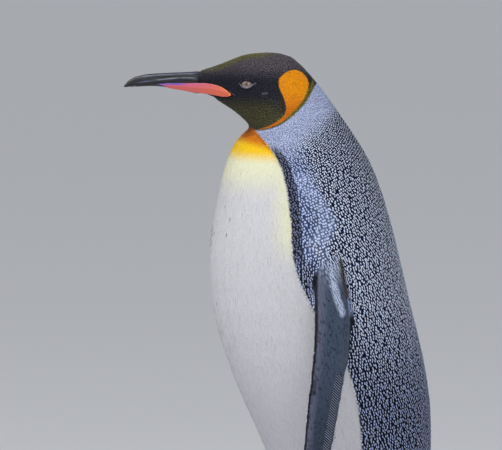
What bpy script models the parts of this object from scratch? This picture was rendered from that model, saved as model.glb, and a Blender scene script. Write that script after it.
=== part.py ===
"""A life-size king penguin, standing at ease and leaning a little forward, with its head turned to its right.

Metres, +Z up, and the breast faces -Y, so that the bird's left side is at +X. The body is one loft of tilted rings
from the bill's base over the head, down the neck and trunk, to the root of the tail. Everything is worked out in a
straight, symmetrical bird first, and turn_head() then swings what lies above the shoulders.
"""

import math

import bmesh
import bpy
from mathutils import Matrix, Vector

MM = 0.001
LEFT, RIGHT = 1, -1
SIDES = {"left": LEFT, "right": RIGHT}

# Driving dimensions, in millimetres. A profile point is (y, z): y runs from breast to back, z up from the floor.
HEIGHT = 842.0
GAP = 0.3
HEAD_TURN = math.radians(22.0)
NECK_AXIS_Y = -39.0
TURN_STARTS, TURN_ENDS = 632.0, 747.0

# Each ring of the body: its point on the throat, breast and belly, its point on the crown, nape and back, and the
# half width between them.
HEAD_RINGS = [
    ((-141.0, 787.0), (-160.0, 819.6), 12.5),
    ((-133.0, 781.6), (-134.5, 826.8), 19.5),
    ((-119.5, 772.5), (-108.0, 837.3), 26.5),
    ((-108.0, 762.5), (-79.5, HEIGHT), 31.5),
    ((-101.0, 755.0), (-50.5, 836.5), 35.0),
    ((-99.0, 750.5), (-26.0, 812.5), 38.5),
]
NECK_RINGS = [
    ((-107.0, 746.5), (-2.5, 783.0), 45.0),
    ((-118.0, 736.0), (15.5, 757.0), 56.0),
    ((-126.0, 720.0), (35.0, 727.0), 69.0),
]
TRUNK_RINGS = [
    ((-135.0, 693.0), (52.0, 693.0), 85.0),
    ((-144.0, 647.0), (66.5, 647.0), 100.0),
    ((-149.0, 602.0), (78.0, 602.0), 109.0),
    ((-145.0, 541.0), (93.0, 541.0), 114.0),
    ((-128.0, 480.0), (109.0, 480.0), 114.5),
    ((-103.0, 420.0), (119.5, 420.0), 110.0),
    ((-76.0, 362.0), (121.0, 362.0), 103.0),
    ((-57.0, 300.0), (120.0, 300.0), 97.0),
    ((-42.0, 240.0), (118.0, 243.0), 91.0),
    ((-29.0, 185.0), (115.0, 192.0), 84.0),
    ((-15.0, 132.0), (113.0, 150.0), 77.0),
    ((8.0, 93.0), (115.0, 122.0), 65.0),
    ((42.0, 69.0), (120.0, 103.0), 51.0),
    ((75.0, 58.0), (128.0, 90.0), 39.0),
    ((98.0, 52.0), (136.0, 81.0), 32.0),
]
RINGS_PER_STEP = {"head": 2, "neck": 2, "trunk": 2}
RING_SIDES = 36
ROUNDNESS = 2.1
CHEEK_SAG = 0.12

SHOULDER = (597.0, 45.0, 5.0)

# Tail: middle line, half width and half thickness from root to tip.
TAIL_RINGS = [
    ((106.0, 77.0), 30.0, 15.0),
    ((123.0, 65.0), 30.0, 11.0),
    ((140.0, 54.5), 27.5, 7.0),
    ((157.0, 44.5), 21.0, 4.4),
    ((171.0, 36.5), 12.0, 2.8),
    ((178.0, 32.5), 4.0, 1.8),
]
TAIL_SIDES = 16

# Bill, by distance from its tip: culmen, gape line and keel heights, and half width.
BILL_TIP_Y = -249.6
BILL_LENGTH = 116.0
CULMEN = [(0.0, 802.0), (6.0, 809.0), (14.0, 813.2), (30.0, 816.3), (60.0, 817.8), (88.0, 819.4), (116.0, 825.0)]
GAPE = [(0.0, 800.2), (14.0, 801.8), (31.0, 804.0), (55.0, 807.2), (79.0, 808.4), (103.0, 805.6), (116.0, 802.2)]
KEEL = [(0.0, 800.0), (14.0, 800.8), (31.0, 801.6), (46.0, 800.8), (67.0, 796.8), (91.0, 791.6), (116.0, 785.0)]
BILL_HALF_WIDTH = [(0.0, 0.9), (6.0, 2.4), (31.0, 4.6), (60.0, 6.8), (88.0, 10.4), (116.0, 15.5)]
LOWER_BILL_START = 5.0
LOWER_BILL_NARROWER = 0.94
BILL_STEPS = 14

# The coloured plate along each side of the lower bill: distance from the tip, top, bottom and outside half width.
PLATE = [
    (44.0, 804.2, 802.2, 5.7),
    (55.0, 805.4, 799.8, 6.9),
    (67.0, 805.8, 797.4, 8.3),
    (85.0, 805.3, 793.9, 11.1),
    (97.0, 804.0, 791.2, 13.3),
    (109.0, 801.3, 788.4, 15.8),
    (118.0, 798.2, 786.8, 17.8),
    (125.0, 794.4, 787.0, 19.4),
    (129.5, 790.6, 788.4, 20.6),
]
PLATE_THICKNESS = 1.5

EYE_PLACE = (20.0, -102.6, 805.4)
EYE_RADIUS = 10.5

# Flipper: height, distance out, distance back, chord, thickness and how far its trailing edge turns in, in degrees.
# The left one hangs straight down, and the right one swings back at the shoulder, in line with the body.
FLIPPER_RINGS = [
    (640.0, 82.0, -42.0, 30.0, 26.0, -4.0),
    (606.0, 102.0, -48.0, 40.0, 26.0, 2.0),
    (570.0, 118.0, -54.0, 49.0, 21.0, 11.0),
    (532.0, 130.0, -57.5, 58.5, 16.5, 19.0),
    (496.0, 136.0, -62.0, 65.0, 14.0, 24.0),
    (460.0, 138.5, -68.5, 65.0, 12.2, 26.0),
    (422.0, 140.0, -75.0, 61.5, 11.0, 27.0),
    (384.0, 141.0, -80.5, 56.0, 9.8, 27.0),
    (346.0, 141.0, -85.5, 47.0, 8.6, 26.0),
    (312.0, 140.5, -89.5, 37.0, 7.4, 22.0),
    (285.0, 139.5, -93.5, 24.0, 6.0, 21.0),
    (272.0, 139.0, -95.5, 9.0, 4.0, 20.0),
]
FLIPPER_SWING = {LEFT: 0.0, RIGHT: math.radians(21.0)}
SHOULDER_JOINT = (-46.0, 610.0)
FLIPPER_AXIS_SHARE = 0.44
FLIPPER_SIDES = 14
FLIPPER_EDGE = 0.8

# Leg: height, distance out, distance back, half width and half depth.
LEG_RINGS = [
    (150.0, 44.0, 24.0, 22.0, 30.0),
    (120.0, 48.0, 17.0, 29.0, 36.0),
    (95.0, 52.0, 13.5, 31.5, 38.5),
    (70.0, 53.5, 15.5, 29.0, 35.0),
    (54.0, 54.0, 19.0, 24.5, 30.5),
    (44.0, 53.5, 21.0, 20.5, 26.5),
]
LEG_SIDES = 16

FOOT_PLACE = (53.0, 21.0)
TOE_OUT = math.radians(9.0)
# Ankle: height, distance ahead, half width and half depth.
ANKLE_RINGS = [
    (-2.0, 6.0, 25.0, 32.0),
    (12.0, 4.0, 24.0, 30.0),
    (27.0, 1.0, 20.0, 25.0),
    (43.7, 0.0, 17.0, 21.5),
]
# Toe: direction from straight ahead, towards the outside, where it starts, its length and its half width.
TOES = {
    "inner": (math.radians(-21.0), 14.0, 76.0, 10.0),
    "middle": (math.radians(3.0), 16.0, 98.0, 11.0),
    "outer": (math.radians(27.0), 14.0, 90.0, 10.2),
}
TOE_HEIGHT = 18.5
TOE_SINK = 1.5
TOE_STEPS = 9
TOE_SIDES = 10
WEB_REACH = 0.84
WEB_HEIGHT = 6.5
CLAW_LENGTH = 27.0
CLAW_RADIUS = 5.2
CLAW_DROP = 5.5
CLAW_STEPS = 6
CLAW_SIDES = 8

EYE_BANDS, EYE_SIDES = 8, 12


def clear_scene():
    for obj in list(bpy.data.objects):
        bpy.data.objects.remove(obj, do_unlink=True)


def finish_material(name, colour, roughness, metallic=0.0):
    material = bpy.data.materials.new(name)
    material.use_nodes = True
    shader = material.node_tree.nodes["Principled BSDF"]
    shader.inputs["Base Color"].default_value = (*colour, 1.0)
    shader.inputs["Roughness"].default_value = roughness
    shader.inputs["Metallic"].default_value = metallic
    material.diffuse_color = (*colour, 1.0)
    return material


def make_materials():
    return {
        "hood": finish_material("hood", (0.018, 0.018, 0.020), 0.75),
        "neck": finish_material("neck", (0.33, 0.37, 0.45), 0.7),
        "trunk": finish_material("trunk", (0.62, 0.63, 0.66), 0.7),
        "flipper": finish_material("flipper", (0.06, 0.07, 0.09), 0.6),
        "tail": finish_material("tail", (0.03, 0.03, 0.035), 0.6),
        "foot": finish_material("foot", (0.022, 0.021, 0.021), 0.55),
        "claw": finish_material("claw", (0.03, 0.028, 0.026), 0.35),
        "bill": finish_material("bill", (0.014, 0.014, 0.018), 0.35),
        "plate": finish_material("plate", (0.75, 0.19, 0.13), 0.4),
        "eye": finish_material("eye", (0.10, 0.07, 0.05), 0.15),
    }


def smooth_through(points, position):
    """A Catmull-Rom curve through points of any dimension, read at a position counted in points."""
    last = len(points) - 1
    at = min(max(position, 0.0), float(last))
    i = min(int(at), last - 1)
    t = at - i
    before, start, end, after = (points[min(max(k, 0), last)] for k in (i - 1, i, i + 1, i + 2))
    return [
        0.5 * (2 * b + (c - a) * t + (2 * a - 5 * b + 4 * c - d) * t * t + (3 * b - a - 3 * c + d) * t**3)
        for a, b, c, d in zip(before, start, end, after)
    ]


def value_at(table, x):
    """Reads a table of (x, value) rows along the smooth curve through them."""
    for i in range(len(table) - 1):
        if x <= table[i + 1][0] or i == len(table) - 2:
            share = (x - table[i][0]) / (table[i + 1][0] - table[i][0])
            return smooth_through([[row[1]] for row in table], i + share)[0]
    return table[-1][1]


def ease(x):
    x = min(max(x, 0.0), 1.0)
    return x * x * (3.0 - 2.0 * x)


def turn_head(point):
    """Swings a point of the straight bird with the neck: not at all below the shoulders, fully above the throat."""
    x, y, z = point
    angle = -HEAD_TURN * ease((z - TURN_STARTS) / (TURN_ENDS - TURN_STARTS))
    back = y - NECK_AXIS_Y
    return (
        x * math.cos(angle) - back * math.sin(angle),
        NECK_AXIS_Y + x * math.sin(angle) + back * math.cos(angle),
        z,
    )


def make_object(name, vertices, faces, material, turned=False):
    """A mesh object from points in millimetres, with its faces turned outwards."""
    if turned:
        vertices = [turn_head(v) for v in vertices]
    mesh = bpy.data.meshes.new(name)
    mesh.from_pydata([Vector(v) * MM for v in vertices], [], faces)
    shape = bmesh.new()
    shape.from_mesh(mesh)
    bmesh.ops.recalc_face_normals(shape, faces=shape.faces)
    shape.to_mesh(mesh)
    shape.free()
    mesh.materials.append(material)
    mesh.shade_smooth()
    mesh.set_sharp_from_angle(angle=math.radians(40))
    obj = bpy.data.objects.new(name, mesh)
    bpy.context.scene.collection.objects.link(obj)
    return obj


def loft(rings):
    """Vertices and faces of a closed tube through rings of equal length, capped at both ends."""
    count = len(rings[0])
    vertices = [point for ring in rings for point in ring]
    faces = [
        (r * count + i, r * count + (i + 1) % count, (r + 1) * count + (i + 1) % count, (r + 1) * count + i)
        for r in range(len(rings) - 1)
        for i in range(count)
    ]
    faces.append(tuple(range(count)))
    faces.append(tuple((len(rings) - 1) * count + i for i in range(count)))
    return vertices, faces


def helper_of(obj, name, swell):
    """A hidden copy of an object's own mesh, swollen by some millimetres, to cut a neighbour with."""
    mesh = obj.data.copy()
    shape = bmesh.new()
    shape.from_mesh(mesh)
    shape.normal_update()
    for vertex in shape.verts:
        vertex.co += vertex.normal * swell * MM
    shape.to_mesh(mesh)
    shape.free()
    return hide_helper(bpy.data.objects.new(name, mesh), obj.matrix_world)


def hide_helper(helper, matrix=None):
    if helper.name not in bpy.context.scene.collection.objects:
        bpy.context.scene.collection.objects.link(helper)
    if matrix is not None:
        helper.matrix_world = matrix
    helper.hide_render = True
    helper.display_type = "WIRE"
    return helper


def add_boolean(obj, other, operation):
    modifier = obj.modifiers.new(f"{operation.lower()} {other.name}", "BOOLEAN")
    modifier.operation = operation
    modifier.solver = "EXACT"
    modifier.object = other


def cut_clear(obj, neighbour, swell=GAP):
    """Cuts a neighbour's shape out of an object, leaving the gap that touching pieces keep."""
    add_boolean(obj, helper_of(neighbour, f"{neighbour.name} in {obj.name}", swell), "DIFFERENCE")


def body_ring(position):
    """One ring of the body, read at a position counted in stations from the bill's base."""
    stations = [(*front, *back, half) for front, back, half in HEAD_RINGS + NECK_RINGS + TRUNK_RINGS]
    front_y, front_z, back_y, back_z, half = smooth_through(stations, position)
    middle_y, middle_z = (front_y + back_y) / 2, (front_z + back_z) / 2
    reach_y, reach_z = (back_y - front_y) / 2, (back_z - front_z) / 2
    sag = CHEEK_SAG * (1.0 - ease((position - len(HEAD_RINGS)) / len(NECK_RINGS)))
    shoulder_z, shoulder_span, shoulder_rise = SHOULDER
    ring = []
    for k in range(RING_SIDES):
        angle = math.tau * k / RING_SIDES
        along = -math.copysign(abs(math.cos(angle)) ** (2 / ROUNDNESS), math.cos(angle))
        across = math.copysign(abs(math.sin(angle)) ** (2 / ROUNDNESS), math.sin(angle))
        along -= sag * across * across
        z = middle_z + reach_z * along
        swell = shoulder_rise * across**6 * math.exp(-(((z - shoulder_z) / shoulder_span) ** 2))
        ring.append((across * (half + swell), middle_y + reach_y * along, z))
    return ring


def shifted(ring, distance):
    """A flat ring moved along its own normal, towards the tail."""
    a, b, c = (Vector(ring[k]) for k in (0, RING_SIDES // 3, 2 * RING_SIDES // 3))
    normal = (b - a).cross(c - a).normalized()
    towards = Vector((0.0, 1.0, -1.0))
    if normal.dot(towards) < 0:
        normal.negate()
    return [tuple(Vector(p) + normal * distance) for p in ring]


def make_body(materials):
    """Head, neck and trunk, as three lengths of one loft with thin gaps between them."""
    counts = {"head": len(HEAD_RINGS), "neck": len(NECK_RINGS), "trunk": len(TRUNK_RINGS) - 1}
    looks = {"head": "hood", "neck": "neck", "trunk": "trunk"}
    pieces = {}
    start = 0
    for name, count in counts.items():
        steps = count * RINGS_PER_STEP[name]
        rings = [body_ring(start + count * k / steps) for k in range(steps + 1)]
        if start:
            rings[0] = shifted(rings[0], GAP)
        pieces[name] = make_object(name, *loft(rings), materials[looks[name]], turned=True)
        start += count
    return pieces


def make_tail(materials):
    """A wedge of stiff feathers, flattened from top to bottom, behind the trunk's last ring."""
    rings = []
    for k in range(2 * len(TAIL_RINGS) - 1):
        (y, z), half, thick = (
            smooth_through([row[0] for row in TAIL_RINGS], k / 2),
            *smooth_through([row[1:] for row in TAIL_RINGS], k / 2),
        )
        down = Vector((0.0, TAIL_RINGS[-1][0][0] - TAIL_RINGS[0][0][0], TAIL_RINGS[-1][0][1] - TAIL_RINGS[0][0][1]))
        up = Vector((0.0, -down.z, down.y)).normalized()
        rings.append(
            [
                tuple(Vector((half * math.sin(a), y, z)) + up * thick * math.cos(a))
                for a in (math.tau * i / TAIL_SIDES for i in range(TAIL_SIDES))
            ]
        )
    return make_object("tail", *loft(rings), materials["tail"])


def flipper_ring(row, side):
    """A horizontal section: a lens with a blunt leading edge in front and a thin trailing edge behind."""
    height, out, back, chord, thickness, turned_in = row
    turn = math.radians(turned_in)
    chordwise = Vector((-math.sin(turn) * side, math.cos(turn), 0.0))
    outwards = Vector((math.cos(turn) * side, math.sin(turn), 0.0))
    centre = Vector((out * side, back, height))
    ring = []
    for k in range(FLIPPER_SIDES):
        angle = math.tau * k / FLIPPER_SIDES
        share = (1.0 - math.cos(angle)) / 2
        fullness = math.sqrt(max(share, 0.0)) * (1.0 - share) * 2.6 + share * (1.0 - share) * 0.6
        half = max(thickness / 2 * min(fullness, 1.0), FLIPPER_EDGE * math.sin(math.pi * min(max(share, 0.0), 1.0)) ** 0.3)
        offset = math.copysign(half, math.sin(angle)) if 0 < k < FLIPPER_SIDES and k != FLIPPER_SIDES // 2 else 0.0
        ring.append(tuple(centre + chordwise * (share - FLIPPER_AXIS_SHARE) * chord + outwards * offset))
    return ring


def make_flipper(name, side, materials):
    steps = 2 * (len(FLIPPER_RINGS) - 1)
    rings = [flipper_ring(smooth_through(FLIPPER_RINGS, k / 2), side) for k in range(steps + 1)]
    joint = Matrix.Translation((0.0, *SHOULDER_JOINT))
    swing = joint @ Matrix.Rotation(FLIPPER_SWING[side], 4, "X") @ joint.inverted()
    rings = [[tuple(swing @ Vector(point)) for point in ring] for ring in rings]
    return make_object(f"{name}_flipper", *loft(rings), materials["flipper"])


def oval(out, back, height, half_width, half_depth, sides=LEG_SIDES):
    return [
        (out + half_width * math.sin(math.tau * k / sides), back - half_depth * math.cos(math.tau * k / sides), height)
        for k in range(sides)
    ]


def make_leg(name, side, materials):
    rings = [
        oval(side * out, back, height, half_width, half_depth)
        for height, out, back, half_width, half_depth in (
            smooth_through(LEG_RINGS, k / 2) for k in range(2 * len(LEG_RINGS) - 1)
        )
    ]
    return make_object(f"{name}_leg", *loft(rings), materials["trunk"])


def toe_direction(toe, side):
    angle = TOES[toe][0] + TOE_OUT
    return Vector((side * math.sin(angle), -math.cos(angle), 0.0))


def toe_point(toe, side, distance):
    """A point on a toe's middle line, on the floor, at a distance from the ankle."""
    ankle = Vector((side * FOOT_PLACE[0], FOOT_PLACE[1], 0.0))
    return ankle + toe_direction(toe, side) * distance


def make_toe(toe, side, materials):
    """One toe with its two knuckles, round above and open to the sole's cut below."""
    _, start, length, half = TOES[toe]
    ahead = toe_direction(toe, side)
    across = Vector((-ahead.y, ahead.x, 0.0))
    rings = []
    for k in range(TOE_STEPS + 1):
        share = k / TOE_STEPS
        knuckles = 1.0 + 0.10 * math.cos(math.tau * 2.2 * share)
        taper = (1.0 - 0.22 * share) * math.sqrt(max(1.0 - max(share - 0.86, 0.0) ** 2 / 0.14**2 * 0.8, 0.0))
        centre = toe_point(toe, side, start + length * share) + Vector((0, 0, TOE_HEIGHT / 2 * taper - TOE_SINK))
        rings.append(
            [
                tuple(
                    centre
                    + across * half * taper * knuckles * math.sin(a)
                    + Vector((0, 0, TOE_HEIGHT / 2 * taper * knuckles * math.cos(a)))
                )
                for a in (math.tau * i / TOE_SIDES for i in range(TOE_SIDES))
            ]
        )
    return make_object(f"toe {toe} {side}", *loft(rings), materials["foot"])


def make_web(side, materials):
    """The skin between the toes: a thin plate whose front edge curves back between them."""
    names = ["inner", "middle", "outer"]
    outline = [toe_point("inner", side, 6.0)]
    for first, second in zip(names, names[1:]):
        tip_a = toe_point(first, side, TOES[first][1] + TOES[first][2] * WEB_REACH)
        tip_b = toe_point(second, side, TOES[second][1] + TOES[second][2] * WEB_REACH)
        heel = toe_point(first, side, 0.0)
        for k in range(7):
            share = k / 6
            edge = tip_a.lerp(tip_b, share)
            outline.append(edge + (heel - edge) * 0.16 * math.sin(math.pi * share))
    outline.append(toe_point("outer", side, 6.0))
    outline.append(toe_point("middle", side, -10.0))
    count = len(outline)
    vertices = [tuple(p + Vector((0, 0, -TOE_SINK))) for p in outline]
    vertices += [tuple(p + Vector((0, 0, WEB_HEIGHT))) for p in outline]
    faces = [tuple(range(count)), tuple(range(count, 2 * count))]
    faces += [(k, (k + 1) % count, count + (k + 1) % count, count + k) for k in range(count)]
    return make_object(f"web {side}", vertices, faces, materials["foot"])


def floor_cutter():
    """A box under the floor, which leaves the soles flat at one level."""
    reach, depth = 400.0, 40.0
    vertices = [(x * reach, y * reach, z) for z in (-depth, 0.0) for x, y in ((-1, -1), (1, -1), (1, 1), (-1, 1))]
    faces = [(0, 1, 2, 3), (4, 5, 6, 7), (0, 1, 5, 4), (1, 2, 6, 5), (2, 3, 7, 6), (3, 0, 4, 7)]
    box = make_object("floor cutter", vertices, faces, bpy.data.materials["foot"])
    return hide_helper(box)


def make_foot(name, side, materials, floor):
    """Ankle, three toes and web, joined, with a flat sole."""
    ankle = [
        oval(side * FOOT_PLACE[0], FOOT_PLACE[1] - forward, height, half_width, half_depth)
        for height, forward, half_width, half_depth in (
            smooth_through(ANKLE_RINGS, k / 2) for k in range(2 * len(ANKLE_RINGS) - 1)
        )
    ]
    foot = make_object(f"{name}_foot", *loft(ankle), materials["foot"])
    for other in [make_web(side, materials)] + [make_toe(toe, side, materials) for toe in TOES]:
        add_boolean(foot, hide_helper(other), "UNION")
    add_boolean(foot, floor, "DIFFERENCE")
    return foot


def make_claw(name, toe, side, materials):
    """A strong nail that leaves the toe's end and bends down to just above the floor."""
    _, start, length, _ = TOES[toe]
    ahead = toe_direction(toe, side)
    across = Vector((-ahead.y, ahead.x, 0.0))
    root = toe_point(toe, side, start + length * 0.93) + Vector((0, 0, 7.6))
    rings = []
    for k in range(CLAW_STEPS + 1):
        share = k / CLAW_STEPS
        radius = CLAW_RADIUS * (1.0 - share) ** 0.7 + 0.7
        centre = root + ahead * CLAW_LENGTH * share - Vector((0, 0, CLAW_DROP * share**1.8))
        rings.append(
            [
                tuple(centre + across * radius * 0.85 * math.sin(a) + Vector((0, 0, radius * math.cos(a))))
                for a in (math.tau * i / CLAW_SIDES for i in range(CLAW_SIDES))
            ]
        )
    return make_object(f"{name}_claw_{toe}", *loft(rings), materials["claw"])


def bill_stations(start, end):
    return [start + (end - start) * (k / BILL_STEPS) ** 1.15 for k in range(BILL_STEPS + 1)]


def make_upper_bill(materials):
    """A long slender arch, flat along the gape, that droops to a fine point."""
    rings = []
    for u in bill_stations(0.0, BILL_LENGTH):
        top, bottom, half = value_at(CULMEN, u), value_at(GAPE, u) + GAP / 2, value_at(BILL_HALF_WIDTH, u)
        arch = [
            (half * math.cos(a), BILL_TIP_Y + u, bottom + (top - bottom) * math.sin(a) ** 0.85)
            for a in (math.pi * i / 10 for i in range(11))
        ]
        rings.append(arch)
    return make_object("upper_bill", *loft(rings), materials["bill"], turned=True)


def make_lower_bill(materials):
    rings = []
    for u in bill_stations(LOWER_BILL_START, BILL_LENGTH):
        top, bottom = value_at(GAPE, u) - GAP / 2, value_at(KEEL, u)
        half = value_at(BILL_HALF_WIDTH, u) * LOWER_BILL_NARROWER
        keel = [
            (half * math.cos(a), BILL_TIP_Y + u, top - (top - bottom) * math.sin(a) ** 0.7)
            for a in (math.pi * i / 10 for i in range(11))
        ]
        rings.append(keel)
    return make_object("lower_bill", *loft(rings), materials["bill"], turned=True)


def make_plate(name, side, materials):
    """A long leaf of horn on the side of the lower bill, pointed in front and rounded behind."""
    rings = []
    for u, top, bottom, out in PLATE:
        middle = (top + bottom) / 2
        bulge = 0.12 * (top - bottom)
        inner = out - PLATE_THICKNESS
        section = [(out - bulge, top), (out, middle), (out - bulge, bottom), (inner - bulge, bottom), (inner, middle)]
        section.append((inner - bulge, top))
        rings.append([(side * x, BILL_TIP_Y + u, z) for x, z in section])
    return make_object(f"{name}_bill_plate", *loft(rings), materials["plate"], turned=True)


def make_eye(name, side, materials):
    mesh_rings = []
    x, y, z = EYE_PLACE
    for k in range(1, EYE_BANDS):
        polar = math.pi * k / EYE_BANDS
        mesh_rings.append(
            [
                (
                    side * x + EYE_RADIUS * math.cos(polar),
                    y + EYE_RADIUS * math.sin(polar) * math.cos(a),
                    z + EYE_RADIUS * math.sin(polar) * math.sin(a),
                )
                for a in (math.tau * i / EYE_SIDES for i in range(EYE_SIDES))
            ]
        )
    return make_object(f"{name}_eye", *loft(mesh_rings), materials["eye"], turned=True)


def stand_on_origin():
    """Moves every piece so that the bottom centre of the whole bird's box is the origin."""
    bpy.context.view_layer.update()
    graph = bpy.context.evaluated_depsgraph_get()
    corners = [
        obj.matrix_world @ vertex.co
        for obj in bpy.context.scene.objects
        if not obj.hide_render
        for vertex in obj.evaluated_get(graph).data.vertices
    ]
    low = [min(corner[k] for corner in corners) for k in range(3)]
    high = [max(corner[k] for corner in corners) for k in range(3)]
    shift = Matrix.Translation((-(low[0] + high[0]) / 2, -(low[1] + high[1]) / 2, -low[2]))
    for obj in bpy.context.scene.objects:
        obj.matrix_world = shift @ obj.matrix_world
    print("moved by", [round(value, 5) for value in shift.translation])


def build():
    clear_scene()
    materials = make_materials()
    body = make_body(materials)
    tail = make_tail(materials)
    cut_clear(tail, body["trunk"])
    upper_bill = make_upper_bill(materials)
    lower_bill = make_lower_bill(materials)
    floor = floor_cutter()
    for name, side in SIDES.items():
        flipper = make_flipper(name, side, materials)
        cut_clear(flipper, body["trunk"])
        foot = make_foot(name, side, materials, floor)
        leg = make_leg(name, side, materials)
        cut_clear(leg, body["trunk"])
        for toe in TOES:
            claw = make_claw(name, toe, side, materials)
            cut_clear(claw, bpy.data.objects[f"toe {toe} {side}"])
        eye = make_eye(name, side, materials)
        plate = make_plate(name, side, materials)
        cut_clear(body["head"], eye)
        cut_clear(body["head"], plate)
        cut_clear(lower_bill, plate)
    cut_clear(upper_bill, body["head"])
    cut_clear(lower_bill, body["head"])
    stand_on_origin()


build()
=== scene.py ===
# %% [markdown]
# # A king penguin, life size
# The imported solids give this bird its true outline. Here it gets what a visitor to a museum would look at:
# one skin without seams, nearly seventy thousand small feathers and scales, eyes with lids, a horny bill
# and scaly feet. Each step says what the thing is on the real bird, how it could be made, and why it is
# made this way.

# %% Load the frame
import math

import bmesh
import bpy
import numpy as np
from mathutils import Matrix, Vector
from mathutils.bvhtree import BVHTree


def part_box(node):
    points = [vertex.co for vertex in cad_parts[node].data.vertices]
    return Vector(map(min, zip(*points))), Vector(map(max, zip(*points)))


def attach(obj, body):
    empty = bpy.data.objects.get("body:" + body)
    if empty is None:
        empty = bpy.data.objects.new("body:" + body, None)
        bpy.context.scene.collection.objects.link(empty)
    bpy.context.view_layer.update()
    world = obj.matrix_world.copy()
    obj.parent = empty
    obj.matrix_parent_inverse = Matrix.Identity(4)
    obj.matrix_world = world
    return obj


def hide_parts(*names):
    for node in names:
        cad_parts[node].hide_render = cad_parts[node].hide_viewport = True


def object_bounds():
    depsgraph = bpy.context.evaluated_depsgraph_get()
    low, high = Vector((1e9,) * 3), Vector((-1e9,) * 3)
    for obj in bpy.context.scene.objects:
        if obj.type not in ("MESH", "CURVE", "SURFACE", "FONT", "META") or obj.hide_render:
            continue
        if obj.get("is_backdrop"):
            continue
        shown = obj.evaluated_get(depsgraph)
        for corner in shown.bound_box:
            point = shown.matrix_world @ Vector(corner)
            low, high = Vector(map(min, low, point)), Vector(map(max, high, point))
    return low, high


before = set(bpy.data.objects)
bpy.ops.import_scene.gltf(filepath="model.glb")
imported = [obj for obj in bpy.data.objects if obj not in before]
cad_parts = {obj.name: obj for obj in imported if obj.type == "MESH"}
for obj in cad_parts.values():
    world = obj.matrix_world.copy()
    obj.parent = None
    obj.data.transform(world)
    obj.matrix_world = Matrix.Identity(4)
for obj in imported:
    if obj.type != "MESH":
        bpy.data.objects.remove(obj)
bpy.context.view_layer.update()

# %% [markdown]
# ## The head is turned on the neck
# The bird looks a little past its own right shoulder. Markings and the lie of the feathers are far easier
# to describe on a straight bird, so two small functions turn points from the posed bird to the straight one
# and back. The turn is read from the eyes, so it always agrees with the solids.

# %% Straight bird and posed bird
TURN_STARTS = 0.632
TURN_ENDS = 0.747


def middle(node):
    low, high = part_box(node)
    return (low + high) / 2


def ease(x, start, end):
    """0 before start, 1 after end, and a smooth step between them."""
    x = np.clip((np.asarray(x, float) - start) / (end - start), 0.0, 1.0)
    return x * x * (3.0 - 2.0 * x)


between_eyes = middle("left_eye") - middle("right_eye")
eyes_middle = (middle("left_eye") + middle("right_eye")) / 2
HEAD_TURN = math.atan2(between_eyes.y, between_eyes.x)
NECK_AXIS_Y = eyes_middle.y + eyes_middle.x / math.tan(HEAD_TURN)


def turned(points, share, directions=None):
    """Points, or directions at points, swung about the neck by their height's part of the turn.

    A share of 1 turns the straight bird into the posed one, and -1 turns it back."""
    points = np.asarray(points, float)
    angle = share * HEAD_TURN * ease(points[:, 2], TURN_STARTS, TURN_ENDS)
    axis_y = NECK_AXIS_Y if directions is None else 0.0
    x, y, z = points.T if directions is None else np.asarray(directions, float).T
    y = y - axis_y
    turned_x = x * np.cos(angle) - y * np.sin(angle)
    turned_y = x * np.sin(angle) + y * np.cos(angle) + axis_y
    return np.stack([turned_x, turned_y, z], axis=1)


print("head turn:", round(math.degrees(HEAD_TURN), 2), "degrees about y", round(NECK_AXIS_Y, 4))

# %% [markdown]
# ## One skin
# A bird's skin runs unbroken from the bill over the wings to the feet. The solids are separate, so copies
# of them are swollen by a hair to close the gaps and melted into one shell with a voxel remesh. That is the
# surest way to join closed shapes: it can't leave a seam. The remesh rounds every edge, which suits flesh.

# %% Melt the solids of flesh into one shell
SIDES = ("left", "right")
LIMBS = [f"{side}_{limb}" for side in SIDES for limb in ("flipper", "leg", "foot")]
FLESH = ["head", "neck", "trunk", "tail"] + LIMBS
SWELL = 0.0005
VOXEL = 0.0037
BILL_CORE = 0.014


def merged_copy(node):
    """The node's mesh in a bmesh of its own, with its loose triangles joined."""
    bm = bmesh.new()
    bm.from_mesh(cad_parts[node].data)
    bmesh.ops.remove_doubles(bm, verts=bm.verts, dist=1e-6)
    bm.normal_update()
    return bm


def swell(bm, by):
    for vertex, normal in [(v, v.normal.copy()) for v in bm.verts]:
        vertex.co += normal * by


def new_object(name, data):
    obj = bpy.data.objects.new(name, data)
    bpy.context.scene.collection.objects.link(obj)
    return obj


def evaluated_mesh(obj, name):
    bpy.context.view_layer.update()
    graph = bpy.context.evaluated_depsgraph_get()
    mesh = bpy.data.meshes.new_from_object(obj.evaluated_get(graph))
    mesh.name = name
    return mesh


def remeshed(mesh, voxel, name):
    """A copy of a mesh melted into one even shell of small squares."""
    rough = new_object(name, mesh)
    remesh = rough.modifiers.new("melt", "REMESH")
    remesh.mode = "VOXEL"
    remesh.voxel_size = voxel
    smooth = evaluated_mesh(rough, name)
    bpy.data.objects.remove(rough)
    return smooth


def joined(parts, name):
    """The parts' meshes in one. Each part is used up."""
    mesh = bpy.data.meshes.new(name)
    whole = bmesh.new()
    for part in parts:
        part.to_mesh(mesh)
        whole.from_mesh(mesh)
        part.free()
    whole.to_mesh(mesh)
    whole.free()
    return mesh


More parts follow.
